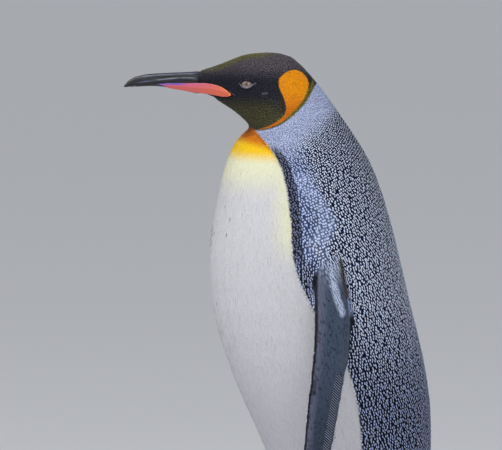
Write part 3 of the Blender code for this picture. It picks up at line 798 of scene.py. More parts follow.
def markings(straight_points, normals, kind):
    """The stroke and ground colours at points of the straight bird. A fourth number is the stroke's width."""
    x, y, z = straight_points.T
    side_view = straight_points[:, 1:]
    colours = np.zeros((2, len(x), 4))

    def paint(name, share):
        for k in range(2):
            colour = (*linear(*PALETTE[name][k]), PALETTE[name][2])
            colours[k] += (colour - colours[k]) * np.broadcast_to(share, len(x))[:, None]

    border = y - through(BORDER, z)
    hood = z - through(HOOD_EDGE, y)
    fin = np.isin(kind, [KINDS.index("flipper"), KINDS.index("comb")])
    on_body = ~fin
    on_side = np.abs(x) > SIDE_FROM_X
    on_left_side = x > SIDE_FROM_X
    front_edge, rear_edge = flipper_edges(z, x)
    paint("back", 1.0)
    paint("low back", ease(-z, -0.57, -0.41))
    paint("shoulder", ease(-border, -0.050, -0.016) * ease(z, 0.53, 0.60))
    # A painted highlight along the shoulder.
    paint("light", 0.8 * near(side_view, SHOULDER_HIGHLIGHT, 0.004, 0.016) * (np.abs(x) > 0.07))
    paint("silver", ease(z - through(SILVER_EDGE, y), -0.022, 0.014) * (z > 0.66))
    paint("band", ease(-border, -0.0125, -0.0095) * ease(z, 0.56, 0.62) * ease(-z, -0.742, -0.722) * on_body)
    before_fin = on_body & (y < front_edge + 0.003) & (z < 0.62)
    # Painted shade in the arm pit before the flipper.
    paint("arm pit shade", before_fin * ease(-z, -0.615, -0.58) * ease(-np.abs(x), -0.112, -0.107))
    front = ease(-border, -0.0006, 0.0006) * on_body
    paint("white", front)
    # Painted shade: the white front darker towards the bottom.
    paint("shaded low white", front * ease(-z, -0.52, -0.36))
    tint = ease(border, -0.026, -0.002) * ease(z, 0.585, 0.64)
    paint("cream", front * np.maximum(tint * 0.85, ease(z, 0.668, 0.712)))
    paint("yellow", front * ease(z, 0.712, 0.729))
    paint("orange", front * ease(z + 0.25 * (border + 0.02), 0.730, 0.744))
    paint("rust", front * ease(z, 0.742, 0.752) * ease(-np.abs(x), -0.03, -0.012))
    inside = ease(hood, -0.0006, 0.0006) * (z > 0.74)
    paint("hood", inside)
    # Painted sheen on the top of the head.
    paint("crown sheen", inside * ease(z, 0.808, 0.830))
    # Painted olive sheen along the front of the crown.
    paint("olive sheen", inside * ease(-np.abs(x), -0.018, -0.008) * ease(z, 0.815, 0.828) * ease(-y, 0.035, 0.06))
    paint("throat", inside * ease(-z, -0.796, -0.772) * ease(-y, 0.02, 0.05))
    ear = inside_outline(side_view, EAR_PATCH)
    rear = ease(hood, -0.002, 0.0) * ease(-hood, -0.012, -0.008)
    paint("fringe", rear * (z > 0.74) * ease(ear, -0.008, -0.005) * ease(y, -0.045, -0.03))
    patch = ease(ear, -0.0004, 0.0006) * (z > 0.745) * (np.abs(x) > 0.008)
    paint("patch", patch)
    paint("patch low", patch * ease(-z, -0.800, -0.770))
    paint("fleck", inside * near(side_view, EAR_FLECK, 0.0004, 0.0020))
    paint("fleck", inside * near(side_view, GAPE, 0.0001, 0.0008))
    paint("rim", inside * near(side_view, EYE_RIM, 0.0002, 0.0008))
    dark_fin = fin * ease(-z, -0.612, -0.570)
    paint("slate", dark_fin)
    paint("low slate", dark_fin * ease(-z, -0.50, -0.40))
    # A painted highlight along the front part of the flipper, on its middle.
    paint("fin band highlight", dark_fin * ease(front_edge - y, -0.0135, -0.0055) * ease(z, 0.30, 0.42))
    paint("fin edge", fin * 0.6 * near(side_view, FIN_SCUFF, 0.0012, 0.0045))
    paint("fin edge", fin * ease(-z, -0.600, -0.585) * ease(front_edge - y, -0.0022, -0.0010))
    paint("fin edge", fin * ease(-z, -0.560, -0.530) * ease(y - rear_edge, -0.0030, -0.0018))
    paint("streak", near(side_view, STREAK, 0.0025, 0.0075) * on_side * (on_body | (y > front_edge + 0.014)))
    behind_crease = ease(y - through([(high, far) for far, high in CREASE_SHADOW], z), 0.0, 0.001)
    paint("shoulder", fin * on_left_side * behind_crease * ease(z, 0.535, 0.550))
    # Painted shadow in the fold behind the left flipper.
    paint("crease", 0.85 * on_left_side * near(side_view, CREASE_SHADOW, 0.0012, 0.0052))
    paint("comb", kind == KINDS.index("comb"))
    paint("white", fin * (normals[:, 0] * np.sign(x) < INNER_FACE) * ease(z, 0.33, 0.40))
    paint("dark", kind == KINDS.index("tail"))
    paint("foot", kind == KINDS.index("foot"))
    paint("speck", kind == KINDS.index("speck"))
    return colours


print("markings:", len(PALETTE), "pairs of colour")

# %% [markdown]
# ## Feathers
# A penguin's body feathers are short, stiff and narrow at the tip, and only that tip shows. One small leaf
# of eight faces stands for each: cupped across, and rising from root to tip so that it overlaps the next
# row. A Geometry Nodes tree sets a leaf on every root, turns it to the lie, lets it follow the skin, and
# makes real mesh of the result. Laying each leaf's points over the nearest skin is what keeps the coat one
# even layer.

# %% One leaf
LEAF_ROWS = [(0.0, 0.55, 0.0), (0.42, 1.0, 0.42), (0.74, 0.88, 0.78), (0.92, 0.50, 0.97), (1.0, 0.0, 1.0)]
CUPPED = 0.16


def leaf_object():
    """A leaf one unit long and one wide, from (place along, share of the width, rise). Y runs to the tip."""
    bm = bmesh.new()
    uv = bm.loops.layers.uv.new("leaf")
    rise = bm.verts.layers.float.new("rise")
    rows_made = []
    for along, wide, lift in LEAF_ROWS:
        row = []
        for across in (-0.5, 0.0, 0.5) if wide else (0.0,):
            vertex = bm.verts.new((across * wide, along, 0.0))
            vertex[rise] = lift - CUPPED * abs(across) * 2 * wide
            row.append(vertex)
        rows_made.append(row)
    for near, far in zip(rows_made, rows_made[1:]):
        for k in range(2):
            beyond = (far[k + 1], far[k]) if len(far) == 3 else (far[0],)
            bm.faces.new((near[k], near[k + 1], *beyond))
    for face in bm.faces:
        face.smooth = True
        for loop in face.loops:
            loop[uv].uv = (loop.vert.co.x + 0.5, loop.vert.co.y)
    mesh = bpy.data.meshes.new("leaf")
    bm.to_mesh(mesh)
    bm.free()
    return new_object("leaf", mesh)


leaf = leaf_object()
LEAF_TRIANGLES = sum(len(face.vertices) - 2 for face in leaf.data.polygons)
print("leaf faces:", len(leaf.data.polygons), "triangles:", LEAF_TRIANGLES)

# %% The tree that sets the leaves
def new_tree(name, kind, inputs, outputs):
    tree = bpy.data.node_groups.new(name, kind)
    for title, socket, value in inputs:
        made = tree.interface.new_socket(name=title, in_out="INPUT", socket_type=socket)
        if value is not None:
            made.default_value = value
    for title, socket in outputs:
        tree.interface.new_socket(name=title, in_out="OUTPUT", socket_type=socket)
    return tree


def add_node(tree, kind, settings=(), **inputs):
    """A node with its own settings, whose named inputs are given a value or another node's socket."""
    node = tree.nodes.new(kind)
    for name, value in dict(settings).items():
        setattr(node, name, value)
    for name, value in inputs.items():
        key = int(name[1:]) if name[0] == "_" and name[1:].isdigit() else name.replace("_", " ")
        socket = node.inputs[key]
        if isinstance(value, bpy.types.NodeSocket):
            tree.links.new(value, socket)
        else:
            socket.default_value = value
    return node


def coat_tree():
    inputs = [("Roots", "NodeSocketGeometry", None), ("Leaf", "NodeSocketObject", None),
              ("Skin", "NodeSocketObject", None), ("Finish", "NodeSocketMaterial", None),
              ("Lift", "NodeSocketFloat", 1.0)]
    tree = new_tree("coat of leaves", "GeometryNodeTree", inputs, [("Coat", "NodeSocketGeometry")])
    given = tree.nodes.new("NodeGroupInput").outputs

    def named(title, kind="FLOAT_VECTOR"):
        return add_node(tree, "GeometryNodeInputNamedAttribute", {"data_type": kind}, Name=title).outputs[0]

    leaf_shape = add_node(tree, "GeometryNodeObjectInfo", Object=given["Leaf"]).outputs["Geometry"]
    skin_shape = add_node(tree, "GeometryNodeObjectInfo", Object=given["Skin"]).outputs["Geometry"]
    facing = add_node(tree, "FunctionNodeAxesToRotation", {"primary_axis": "Y", "secondary_axis": "Z"},
                      Primary_Axis=named("lie"), Secondary_Axis=named("out")).outputs[0]
    placed = add_node(tree, "GeometryNodeInstanceOnPoints", Points=given["Roots"], Instance=leaf_shape,
                      Rotation=facing, Scale=named("stretch")).outputs[0]
    real = add_node(tree, "GeometryNodeRealizeInstances", Geometry=placed).outputs[0]
    here = tree.nodes.new("GeometryNodeInputPosition").outputs[0]
    on_skin, outwards = (
        add_node(tree, "GeometryNodeSampleNearestSurface", {"data_type": "FLOAT_VECTOR"}, Mesh=skin_shape,
                 Value=value).outputs[0] for value in (here, named("out")))
    lift = add_node(tree, "ShaderNodeMath", {"operation": "MULTIPLY"}, _0=named("rise", "FLOAT"),
                    _1=named("lift", "FLOAT")).outputs[0]
    lift = add_node(tree, "ShaderNodeMath", {"operation": "MULTIPLY"}, _0=lift, _1=given["Lift"]).outputs[0]
    scale = {"operation": "SCALE"}
    raised = add_node(tree, "ShaderNodeVectorMath", scale, _0=outwards, Scale=lift).outputs[0]
    goal = add_node(tree, "ShaderNodeVectorMath", {"operation": "ADD"}, _0=on_skin, _1=raised).outputs[0]
    laid = add_node(tree, "GeometryNodeSetPosition", Geometry=real, Position=goal).outputs[0]
    dressed = add_node(tree, "GeometryNodeSetMaterial", Geometry=laid, Material=given["Finish"]).outputs[0]
    result = tree.nodes.new("NodeGroupOutput")
    tree.links.new(dressed, result.inputs[0])
    return tree


coat_nodes = coat_tree()
print("coat tree:", len(coat_nodes.nodes), "nodes")

# %% [markdown]
# ## The finish of a feather
# The light stroke down the middle of each tip, the dark gaps between and the fine barbs are the same effect
# on every feather, so they are one shader group. It reads the leaf's own map, where U runs across and V
# from root to tip, and mixes the two colours that the markings gave this feather. A body feather shows its
# stroke near the tip only, and a flipper's feather shows it over nearly its whole length.

# %% The feather group
def value_node(tree, operation, a, b=0.0, c=0.0):
    return add_node(tree, "ShaderNodeMath", {"operation": operation}, _0=a, _1=b, _2=c).outputs[0]


def attribute(tree, name, output="Fac"):
    return add_node(tree, "ShaderNodeAttribute", {"attribute_name": name}).outputs[output]


def smooth_step(tree, value, low, high, **ends):
    return add_node(tree, "ShaderNodeMapRange", {"interpolation_type": "SMOOTHSTEP"}, Value=value,
                    From_Min=low, From_Max=high, **ends).outputs[0]


def remap(tree, value, low, high):
    """0 below low and 1 above high, which may be the wrong way round."""
    step = smooth_step(tree, value, min(low, high), max(low, high))
    return step if low < high else value_node(tree, "SUBTRACT", 1.0, step)


def mix_colours(tree, share, a, b):
    node = add_node(tree, "ShaderNodeMix", {"data_type": "RGBA"})
    for socket, value in ((node.inputs[0], share), (node.inputs[6], a), (node.inputs[7], b)):
        if isinstance(value, bpy.types.NodeSocket):
            tree.links.new(value, socket)
        else:
            socket.default_value = value
    return node.outputs[2]


BLACK = (0.0, 0.0, 0.0, 1.0)
STROKE_CORE = 0.55
STROKE_FADES = 0.12
BARB_SLANT = -0.6
BARB_SHADE = 0.16
BARB_HEIGHT = 0.35
SHAFT_WIDTH = (0.16, 0.05)
SHAFT_HEIGHT = 0.8


def feather_group():
    inputs = [("Stroke", "NodeSocketColor", None), ("Ground", "NodeSocketColor", None),
              ("Place", "NodeSocketVector", None), ("Stroke Width", "NodeSocketFloat", 0.5),
              ("Stroke Start", "NodeSocketFloat", 0.42), ("Barbs", "NodeSocketFloat", 14.0)]
    tree = new_tree("feather", "ShaderNodeTree", inputs,
                    [("Colour", "NodeSocketColor"), ("Height", "NodeSocketFloat")])
    given = tree.nodes.new("NodeGroupInput").outputs
    place = add_node(tree, "ShaderNodeSeparateXYZ", Vector=given["Place"]).outputs
    side = value_node(tree, "ABSOLUTE", value_node(tree, "MULTIPLY_ADD", place[0], 2.0, -1.0))
    core = value_node(tree, "MULTIPLY", given["Stroke Width"], STROKE_CORE)
    across = smooth_step(tree, side, core, given["Stroke Width"], To_Min=1.0, To_Max=0.0)
    full = value_node(tree, "ADD", given["Stroke Start"], STROKE_FADES)
    along = smooth_step(tree, place[1], given["Stroke Start"], full)
    share = value_node(tree, "MULTIPLY", across, along)
    slant = value_node(tree, "MULTIPLY_ADD", side, BARB_SLANT, place[1])
    turns = value_node(tree, "MULTIPLY", given["Barbs"], math.tau)
    barb = value_node(tree, "SINE", value_node(tree, "MULTIPLY", slant, turns))
    barb = value_node(tree, "MULTIPLY_ADD", barb, 0.5, 0.5)
    shaft = remap(tree, side, *SHAFT_WIDTH)
    colour = mix_colours(tree, share, given["Ground"], given["Stroke"])
    darker = mix_colours(tree, value_node(tree, "MULTIPLY", barb, BARB_SHADE), colour, BLACK)
    raised = value_node(tree, "MULTIPLY", barb, BARB_HEIGHT)
    ridge = value_node(tree, "MULTIPLY_ADD", shaft, SHAFT_HEIGHT, raised)
    result = add_node(tree, "NodeGroupOutput")
    tree.links.new(darker, result.inputs["Colour"])
    tree.links.new(ridge, result.inputs["Height"])
    return tree


feather_nodes = feather_group()


def new_material(name, **shader):
    """A material with its Principled shader, whose constants are set on the shader's own sockets."""
    material = bpy.data.materials.new(name)
    material.use_nodes = True
    tree = material.node_tree
    principled = tree.nodes["Principled BSDF"]
    for title, value in shader.items():
        principled.inputs[title.replace("_", " ")].default_value = value
    return material, tree, principled


def bumped(tree, principled, height, strength, distance):
    bump = add_node(tree, "ShaderNodeBump", Height=height, Strength=strength, Distance=distance)
    tree.links.new(bump.outputs[0], principled.inputs["Normal"])


def feather_material(name, start, roughness, sheen):
    material, tree, principled = new_material(name, Roughness=roughness, Specular_IOR_Level=0.12,
                                              Sheen_Weight=sheen, Sheen_Roughness=0.5)
    place = add_node(tree, "ShaderNodeUVMap", {"uv_map": "leaf"}).outputs[0]
    group = tree.nodes.new("ShaderNodeGroup")
    group.node_tree = feather_nodes
    for socket, value in (("Stroke", attribute(tree, "stroke", "Color")),
                          ("Stroke Width", attribute(tree, "stroke", "Alpha")),
                          ("Ground", attribute(tree, "ground", "Color")), ("Place", place)):
        tree.links.new(value, group.inputs[socket])
    group.inputs["Stroke Start"].default_value = start
    tree.links.new(group.outputs["Colour"], principled.inputs["Base Color"])
    bumped(tree, principled, group.outputs["Height"], 0.25, 0.0004)
    return material


body_feather = feather_material("body feather", start=0.62, roughness=0.52, sheen=0.05)
fin_feather = feather_material("flipper feather", start=0.12, roughness=0.42, sheen=0.04)
foot_scale = feather_material("foot scale", start=0.20, roughness=0.38, sheen=0.0)
print("finishes so far:", len(bpy.data.materials))

# %% [markdown]
# ## Setting the coat
# The roots get their direction, size and colours, with a little disorder from a fixed seed, because a coat
# that is perfectly even looks printed. They are then shared out over pieces named for their place on the
# bird, which keeps every piece light enough to handle.

# %% Size, direction and shade of every feather
SEED = 20
LENGTH_IN_ROWS = 2.35
WIDTH_IN_GAPS = 1.30
PLACE_STRAYS = 0.06
LIE_STRAYS = 0.07
SIZE_VARIES = 0.07
SHADE_VARIES = 0.07
VARIES_WITHIN = (0.8, 1.2)
FOOT_SHAPE = (0.95, 0.62, 1.0)
TAIL_SHAPE = (1.4, 2.6, 1.0)
FRONT_SHAPE = (0.9, 1.25, 1.0)
FACE_SHAPE = (0.9, 1.15, 1.0)
FIN_INNER_SHAPE = (1.0, 0.8, 1.0)
MUD_SHAPE = (0.32, 0.7, 1.0)
LIFT = 0.92
FRONT_LIFT = 0.25
FACE_LIFT = 0.0011
FOREHEAD_LIFT = 0.0004
SCALE_LIFT = 0.0004
MUD_LIFT = 0.0006
MOST_LIFT_AT_BILL = 0.0004
MOST_LIFT_GROWS = 0.0025
FIN_INNER_LIFT = 0.5
FRONT_SHADE_VARIES = 0.25
FIN_SPECKS = 0.13
FIN_SPECK_SHADE = 0.55
MASK_LAPS = 0.0006
BARE_SOLE = 0.004
SOLE_FACES = -0.2
PLATE_OVERLAP = 0.0004
ABOVE_EYE = 0.001
UPPER_LID_BARE = 0.0006
LOWER_LID_BARE = 0.0012
RIM_BARE = 0.0011
MUD = (-0.032, -0.112, 0.634)
MUD_SPOTS = ((0.11, 0.016), (0.004, 0.07))
COMB_INSET = 0.0215
COMB_FROM = 0.283
COMB_TO = 0.478
COMB_FACES = 0.3
generator = np.random.default_rng(SEED)


def at_roots(values):
    """A value of the skin's points, read at the roots."""
    t = roots["share"] if values.ndim == 1 else roots["share"][:, None]
    return values[roots["first"]] * (1 - t) + values[roots["second"]] * t


def of_kind(*names):
    return np.isin(root_kind, [KINDS.index(name) for name in names])


root_point = at_roots(skin_points)
root_straight = at_roots(straight)
root_kind = skin_kind[roots["first"]]
behind_horn = (root_kind == KINDS.index("bill")) & (root_straight[:, 1] > MASK_FRONT_Y - MASK_LAPS)
root_kind = np.where(behind_horn, KINDS.index("head"), root_kind)
root_out = at_roots(skin_normals)
root_out /= length_of(root_out)
root_lie = at_roots(lie)
root_gap = at_roots(row_gap)
across, along, height = root_straight.T
count = len(root_point)
white_side = along < through(BORDER, height)
white_front = white_side & of_kind("trunk", "neck")
fin_out = root_out[:, 0] * np.sign(across)
outer_face = of_kind("flipper") & (fin_out > 0.0)
inner_face = of_kind("flipper") & ~outer_face

root_point += generator.normal(0, PLACE_STRAYS, (count, 3)) * root_gap[:, None]
sideways = np.cross(root_lie, root_out)
root_lie = laid_flat(root_lie + sideways * generator.normal(0, LIE_STRAYS, (count, 1)), root_out)
size = generator.normal(1.0, SIZE_VARIES, (count, 1)).clip(*VARIES_WITHIN)
stretch = np.stack([root_gap * ACROSS * WIDTH_IN_GAPS, root_gap * LENGTH_IN_ROWS, root_gap], axis=1) * size
for chosen, shape in ((of_kind("foot"), FOOT_SHAPE), (of_kind("tail"), TAIL_SHAPE),
                      (white_front, FRONT_SHAPE), (of_kind("head", "eye"), FACE_SHAPE),
                      (inner_face, FIN_INNER_SHAPE)):
    stretch[chosen] *= shape

from_bill = ease(along, MASK_FRONT_Y, MASK_FRONT_Y + FACE_THICKENS)
lift = np.where(of_kind("head"), FACE_LIFT, at_roots(depth) * LIFT)
lift = np.minimum(lift, MOST_LIFT_AT_BILL + MOST_LIFT_GROWS * from_bill) * size[:, 0]
lift = np.where(of_kind("head"), lift + FOREHEAD_LIFT * at_roots(forehead), lift)
lift = np.where(of_kind("foot"), SCALE_LIFT, lift)
lift[white_front] *= FRONT_LIFT
lift[inner_face] *= FIN_INNER_LIFT
shade = generator.normal(1.0, SHADE_VARIES, count).clip(*VARIES_WITHIN)
shade = np.where(white_front, 1.0 + (shade - 1.0) * FRONT_SHADE_VARIES, shade)
shade[outer_face & (generator.random(count) < FIN_SPECKS)] *= FIN_SPECK_SHADE

bare = of_kind("bill")
bare |= of_kind("foot") & ((height < BARE_SOLE) | (root_out[:, 2] < SOLE_FACES))
bare |= (inside_plate(root_straight) > -PLATE_OVERLAP) & of_kind("head")
above_eye = height > turned([middle("left_eye")], -1.0)[0, 2] + ABOVE_EYE
bare |= outside_opening(root_straight) < np.where(above_eye, UPPER_LID_BARE, LOWER_LID_BARE)
bare |= of_kind("head", "eye") & (away_from(root_straight[:, 1:], np.array(EYE_RIM) * MILLI) < RIM_BARE)
in_comb = (along > flipper_edges(height, across)[1] - COMB_INSET) & (height > COMB_FROM) & (height < COMB_TO)
bare |= of_kind("flipper") & in_comb & (fin_out > COMB_FACES)

from_mud = np.linalg.norm(root_straight - MUD, axis=1)
odds = sum(most * np.exp(-((from_mud / reach) ** 2)) for most, reach in MUD_SPOTS)
soiled = white_side & of_kind("trunk") & (generator.random(count) < odds)
root_kind = np.where(soiled, KINDS.index("speck"), root_kind)
stretch[soiled] *= MUD_SHAPE
lift[soiled] += MUD_LIFT
print("feathers:", int(np.sum(~bare)), "of", count)

# %% [markdown]
# Along the rear edge of a flipper the feathers are long and narrow, and lie side by side like a comb,
# slanting back to the edge. They don't follow the rows, so they get roots of their own. A ray cast in from
# the side finds the skin under each one. On the unwrap each one shares the place of the nearest feather of
# the rows.

# %% The combs of the flippers
COMB_STEP = 0.0027
FLIPPER_FROM_X = 0.12
RAY_FROM_X = 0.3
LONG_COMB = 0.01
SHORT_COMB_LIFT = 1.5
COMB_SHADE_VARIES = 0.10
# For each row: its roots' distance from the rear edge, its length and width, its angle, and its upper end.
COMB_ROWS = [(COMB_INSET, 0.0190, 0.0026, 72, COMB_TO), (0.0062, 0.0036, 0.0022, 42, COMB_TO + 0.02),
             (0.0034, 0.0036, 0.0020, 42, COMB_TO + 0.03)]
skin_tree = BVHTree.FromPolygons(skin_points.tolist(), triangles.tolist())


def comb_roots():
    """(point, outward direction, lie, size) for each feather. The angle is to the flipper's edge."""
    found = []
    for sign in (1.0, -1.0):
        for inset, long, wide, angle, top in COMB_ROWS:
            heights = np.arange(COMB_FROM, top, COMB_STEP)
            rear = flipper_edges(heights, sign)[1]
            for z, y, slope in zip(heights, rear, np.gradient(rear, heights)):
                turn = math.radians(angle) - math.atan(slope)
                slant = (0.0, math.sin(turn), -math.cos(turn))
                point, out, _, _ = skin_tree.ray_cast((sign * RAY_FROM_X, y - inset, z), (-sign, 0.0, 0.0))
                if point is not None and abs(point.x) > FLIPPER_FROM_X:
                    found.append((point, out, slant, (wide, long, COMB_STEP)))
    return [np.array(column, float) for column in zip(*found)]


comb_point, comb_out, comb_lie, comb_size = comb_roots()
root_of = [int(np.argmin(np.sum((root_point - point) ** 2, axis=1))) for point in comb_point]
extra = len(comb_point)
root_kind = np.concatenate([root_kind, np.full(extra, KINDS.index("comb"))])
root_point = np.vstack([root_point, comb_point])
root_out = np.vstack([root_out, comb_out])
root_lie = np.vstack([root_lie, laid_flat(comb_lie, comb_out)])
stretch = np.vstack([stretch, comb_size])
comb_lift = np.where(comb_size[:, 1] > LONG_COMB, 1.0, SHORT_COMB_LIFT)
lift = np.concatenate([lift, COAT_DEPTH["comb"] * comb_lift])
shade = np.concatenate([shade, generator.normal(1.0, COMB_SHADE_VARIES, extra)])
bare = np.concatenate([bare, np.zeros(extra, dtype=bool)])
home = np.stack([roots["place"], roots["row"].astype(float)], axis=1)
home = np.vstack([home, home[root_of]])
height = np.concatenate([height, comb_point[:, 2]])
white_side = np.concatenate([white_side, np.zeros(extra, dtype=bool)])
print("feathers in the combs:", extra)

# %% Build the pieces of the coat
PATCH = 0.003
HEAD_COAT_FROM = 0.76
NECK_COAT_FROM = 0.66
SPARE = ("lie", "out", "stretch", "lift", "home", "rise", "kind", "shade")


def give(mesh, name, kind, values):
    attribute = mesh.attributes.new(name, kind, "POINT")
    field = {"FLOAT": "value", "FLOAT_VECTOR": "vector", "FLOAT_COLOR": "color", "FLOAT2": "vector"}[kind]
    if kind == "FLOAT_COLOR" and values.shape[1] == 3:
        values = np.hstack([values, np.ones((len(values), 1))])
    attribute.data.foreach_set(field, np.ascontiguousarray(values, dtype=np.float32).ravel())


def set_inputs(modifier, **inputs):
    """Sets a Geometry Nodes modifier's inputs by the identifiers of their sockets."""
    for item in modifier.node_group.interface.items_tree:
        if item.in_out == "INPUT" and item.name in inputs:
            modifier[item.identifier] = inputs[item.name]


def read(mesh, name, width=1):
    return numbers(mesh.attributes[name].data, "vector" if width > 1 else "value", width, np.float32)


def coat_piece(name, chosen, finish):
    """Leaves on the chosen roots. Their colours are read point by point, for sharp edges of the markings."""
    index = np.nonzero(chosen & ~bare)[0]
    base = bpy.data.meshes.new(name)
    base.vertices.add(len(index))
    base.vertices.foreach_set("co", root_point[index].ravel())
    places = home[index] - home[index].min(axis=0)
    places = PATCH + places / places.max() * (1 - 2 * PATCH)
    for title, values in (("lie", root_lie), ("out", root_out), ("stretch", stretch)):
        give(base, title, "FLOAT_VECTOR", values[index])
    for title, values in (("lift", lift), ("kind", root_kind), ("shade", shade)):
        give(base, title, "FLOAT", values[index])
    give(base, "home", "FLOAT2", places)
    obj = new_object(name, base)
    modifier = obj.modifiers.new("coat", "NODES")
    modifier.node_group = coat_nodes
    set_inputs(modifier, Leaf=leaf, Skin=skin, Finish=finish, Lift=1.0)
    coat = evaluated_mesh(obj, name)
    obj.modifiers.clear()
    obj.data = coat
    bpy.data.meshes.remove(base)
    corners = numbers(coat.loops, "vertex_index", kind=np.int64)
    kind = read(coat, "kind").round().astype(int)
    colours = markings(turned(points_of(coat), -1.0), read(coat, "out", 3), kind)
    colours[:, :, :3] *= read(coat, "shade")[None, :, None]
    give(coat, "stroke", "FLOAT_COLOR", colours[0])
    give(coat, "ground", "FLOAT_COLOR", colours[1])
    on_leaf = numbers(coat.uv_layers["leaf"].uv, "vector", 2, np.float32)
    unwrap = read(coat, "home", 2)[corners] + (on_leaf - 0.5) * PATCH
    coat.uv_layers.new(name="OFBake").uv.foreach_set("vector", unwrap.astype(np.float32).ravel())
    for spare in SPARE:
        coat.attributes.remove(coat.attributes[spare])
    print(name, "leaves:", len(index), "triangles:", len(index) * LEAF_TRIANGLES)
    return obj


def between(low, high):
    return (height > low) & (height <= high)


skin = new_object("skin", skin_mesh)
give(skin_mesh, "out", "FLOAT_VECTOR", skin_normals)
head = of_kind("head", "eye") & (height > HEAD_COAT_FROM)
body = of_kind("trunk", "neck", "tail", "head", "eye", "speck") & ~head
front = body & white_side
rear = body & ~white_side
fin = of_kind("flipper", "comb")
left = root_point[:, 0] > 0
COAT_PIECES = {
    "coat_head": (head, body_feather),
    "coat_neck": (body & (height > NECK_COAT_FROM), body_feather),
    "coat_back_upper": (rear & between(0.46, NECK_COAT_FROM), body_feather),
    "coat_back_middle": (rear & between(0.26, 0.46), body_feather),
    "coat_rump": (rear & (height <= 0.26), body_feather),
    "coat_breast": (front & between(0.40, NECK_COAT_FROM), body_feather),
    "coat_belly": (front & (height <= 0.40), body_feather),
    "coat_legs": (of_kind("leg"), body_feather),
    "coat_flipper_left": (fin & left, fin_feather),
    "coat_flipper_right": (fin & ~left, fin_feather),
    "scales_foot_left": (of_kind("foot") & left, foot_scale),
    "scales_foot_right": (of_kind("foot") & ~left, foot_scale),
}
coat_pieces = [coat_piece(name, chosen, finish) for name, (chosen, finish) in COAT_PIECES.items()]
bpy.data.objects.remove(leaf)

# %% [markdown]
# ## Horn: bill and nails
# The bill is two long sheaths of horn with a groove along each side of the upper one, where the nostril
# hides. The solids' shape is right, but it has flat faces. So a copy is remeshed finely, smoothed, and the
# groove is pressed in by moving points along their normals, which keeps it in the mesh and not only in the
# shading. The root of each sheath is drawn in, so that the small feathers of the face close over it.

# %% Smooth copies of the horn
HORN_VOXEL = 0.0008
NAIL_VOXEL = 0.0009
UPPER_GROOVE = {"at": 0.50, "wide": 0.14, "start": MASK_FRONT_Y - 0.062, "depth": 0.0009}
LOWER_GROOVE = {"at": 0.16, "wide": 0.07, "start": MASK_FRONT_Y - 0.075, "depth": 0.00036}
GROOVES_END = MASK_FRONT_Y + 0.02
# The two lines along the upper bill, as shares of its height, where highlights are painted.
HIGHLIGHT_LINES = (0.84, 0.34)
HIGHLIGHT_WIDE = 0.05
# How much narrower and flatter each sheath is at its root, and the height that it narrows towards.
HORN_TAPER = {"upper_bill": (0.34, 0.24, 0.8120), "lower_bill": (0.30, 0.50, 0.7985)}


def shade_smooth(mesh):
    mesh.polygons.foreach_set("use_smooth", np.ones(len(mesh.polygons), dtype=bool))


def fine_copy(node, voxel, passes=4):
    bm = merged_copy(node)
    mesh = remeshed(joined([bm], node), voxel, node)
    put_points(mesh, smoothed(points_of(mesh), edges_of(mesh), passes))
    return mesh


def share_of_height(straight_points):
    """Where each point lies between the lowest and the highest point at its own place along the bill."""
    low, high = edges_along(straight_points[:, 1], straight_points[:, 2], 0.002)(straight_points[:, 1])
    return (straight_points[:, 2] - low) / np.maximum(high - low, 0.001)


def ridge(share, at, wide):
    return np.exp(-(((share - at) / wide) ** 2))


def press_groove(mesh, at, wide, start, depth):
    """Presses a long groove into both sides at a share of the height."""
    points = points_of(mesh)
    place = turned(points, -1.0)
    ends = ease(place[:, 1], start, start + 0.02) * ease(-place[:, 1], -GROOVES_END, 0.015 - GROOVES_END)
    press = depth * ridge(share_of_height(place), at, wide) * ends
    put_points(mesh, points - normals_of(mesh) * press[:, None])


def finished(name, mesh, material, node):
    """A piece at the origin that stands for its node and rides on the body."""
    mesh.materials.clear()
    mesh.materials.append(material)
    shade_smooth(mesh)
    give(mesh, "straight", "FLOAT_VECTOR", turned(points_of(mesh), -1.0))
    obj = new_object(name, mesh)
    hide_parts(node)
    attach(obj, "root")


def stretched_noise(tree, place, scale):
    """Noise drawn out along the bill, which runs along Y on the straight bird."""
    mapped = add_node(tree, "ShaderNodeMapping", Vector=place, Scale=scale).outputs[0]
    return add_node(tree, "ShaderNodeTexNoise", Vector=mapped, Scale=1.0, Detail=3.0).outputs[0]


def rgba(*colour):
    return (*linear(*colour), 1.0)


def horn_material(name, dark, light, roughness, highlight_colour):
    """Horn with long streaks, and a highlight painted in a lighter colour where a point attribute says,
    streaked like the horn.
    """
    material, tree, principled = new_material(name, Roughness=roughness, Coat_Weight=0.15)
    place = attribute(tree, "straight", "Vector")
    streaks = stretched_noise(tree, place, (900.0, 40.0, 900.0))
    colour = mix_colours(tree, remap(tree, streaks, 0.48, 0.72), rgba(*dark), rgba(*light))
    # Painted highlight: the lighter colour is laid where the attribute says, broken up by the streaks.
    highlight = value_node(tree, "MULTIPLY", attribute(tree, "painted_highlight"), remap(tree, streaks, 0.30, 0.60))
    colour = mix_colours(tree, highlight, colour, rgba(*highlight_colour))
    tree.links.new(colour, principled.inputs["Base Color"])
    bumped(tree, principled, streaks, 0.3, 0.0004)
    return material


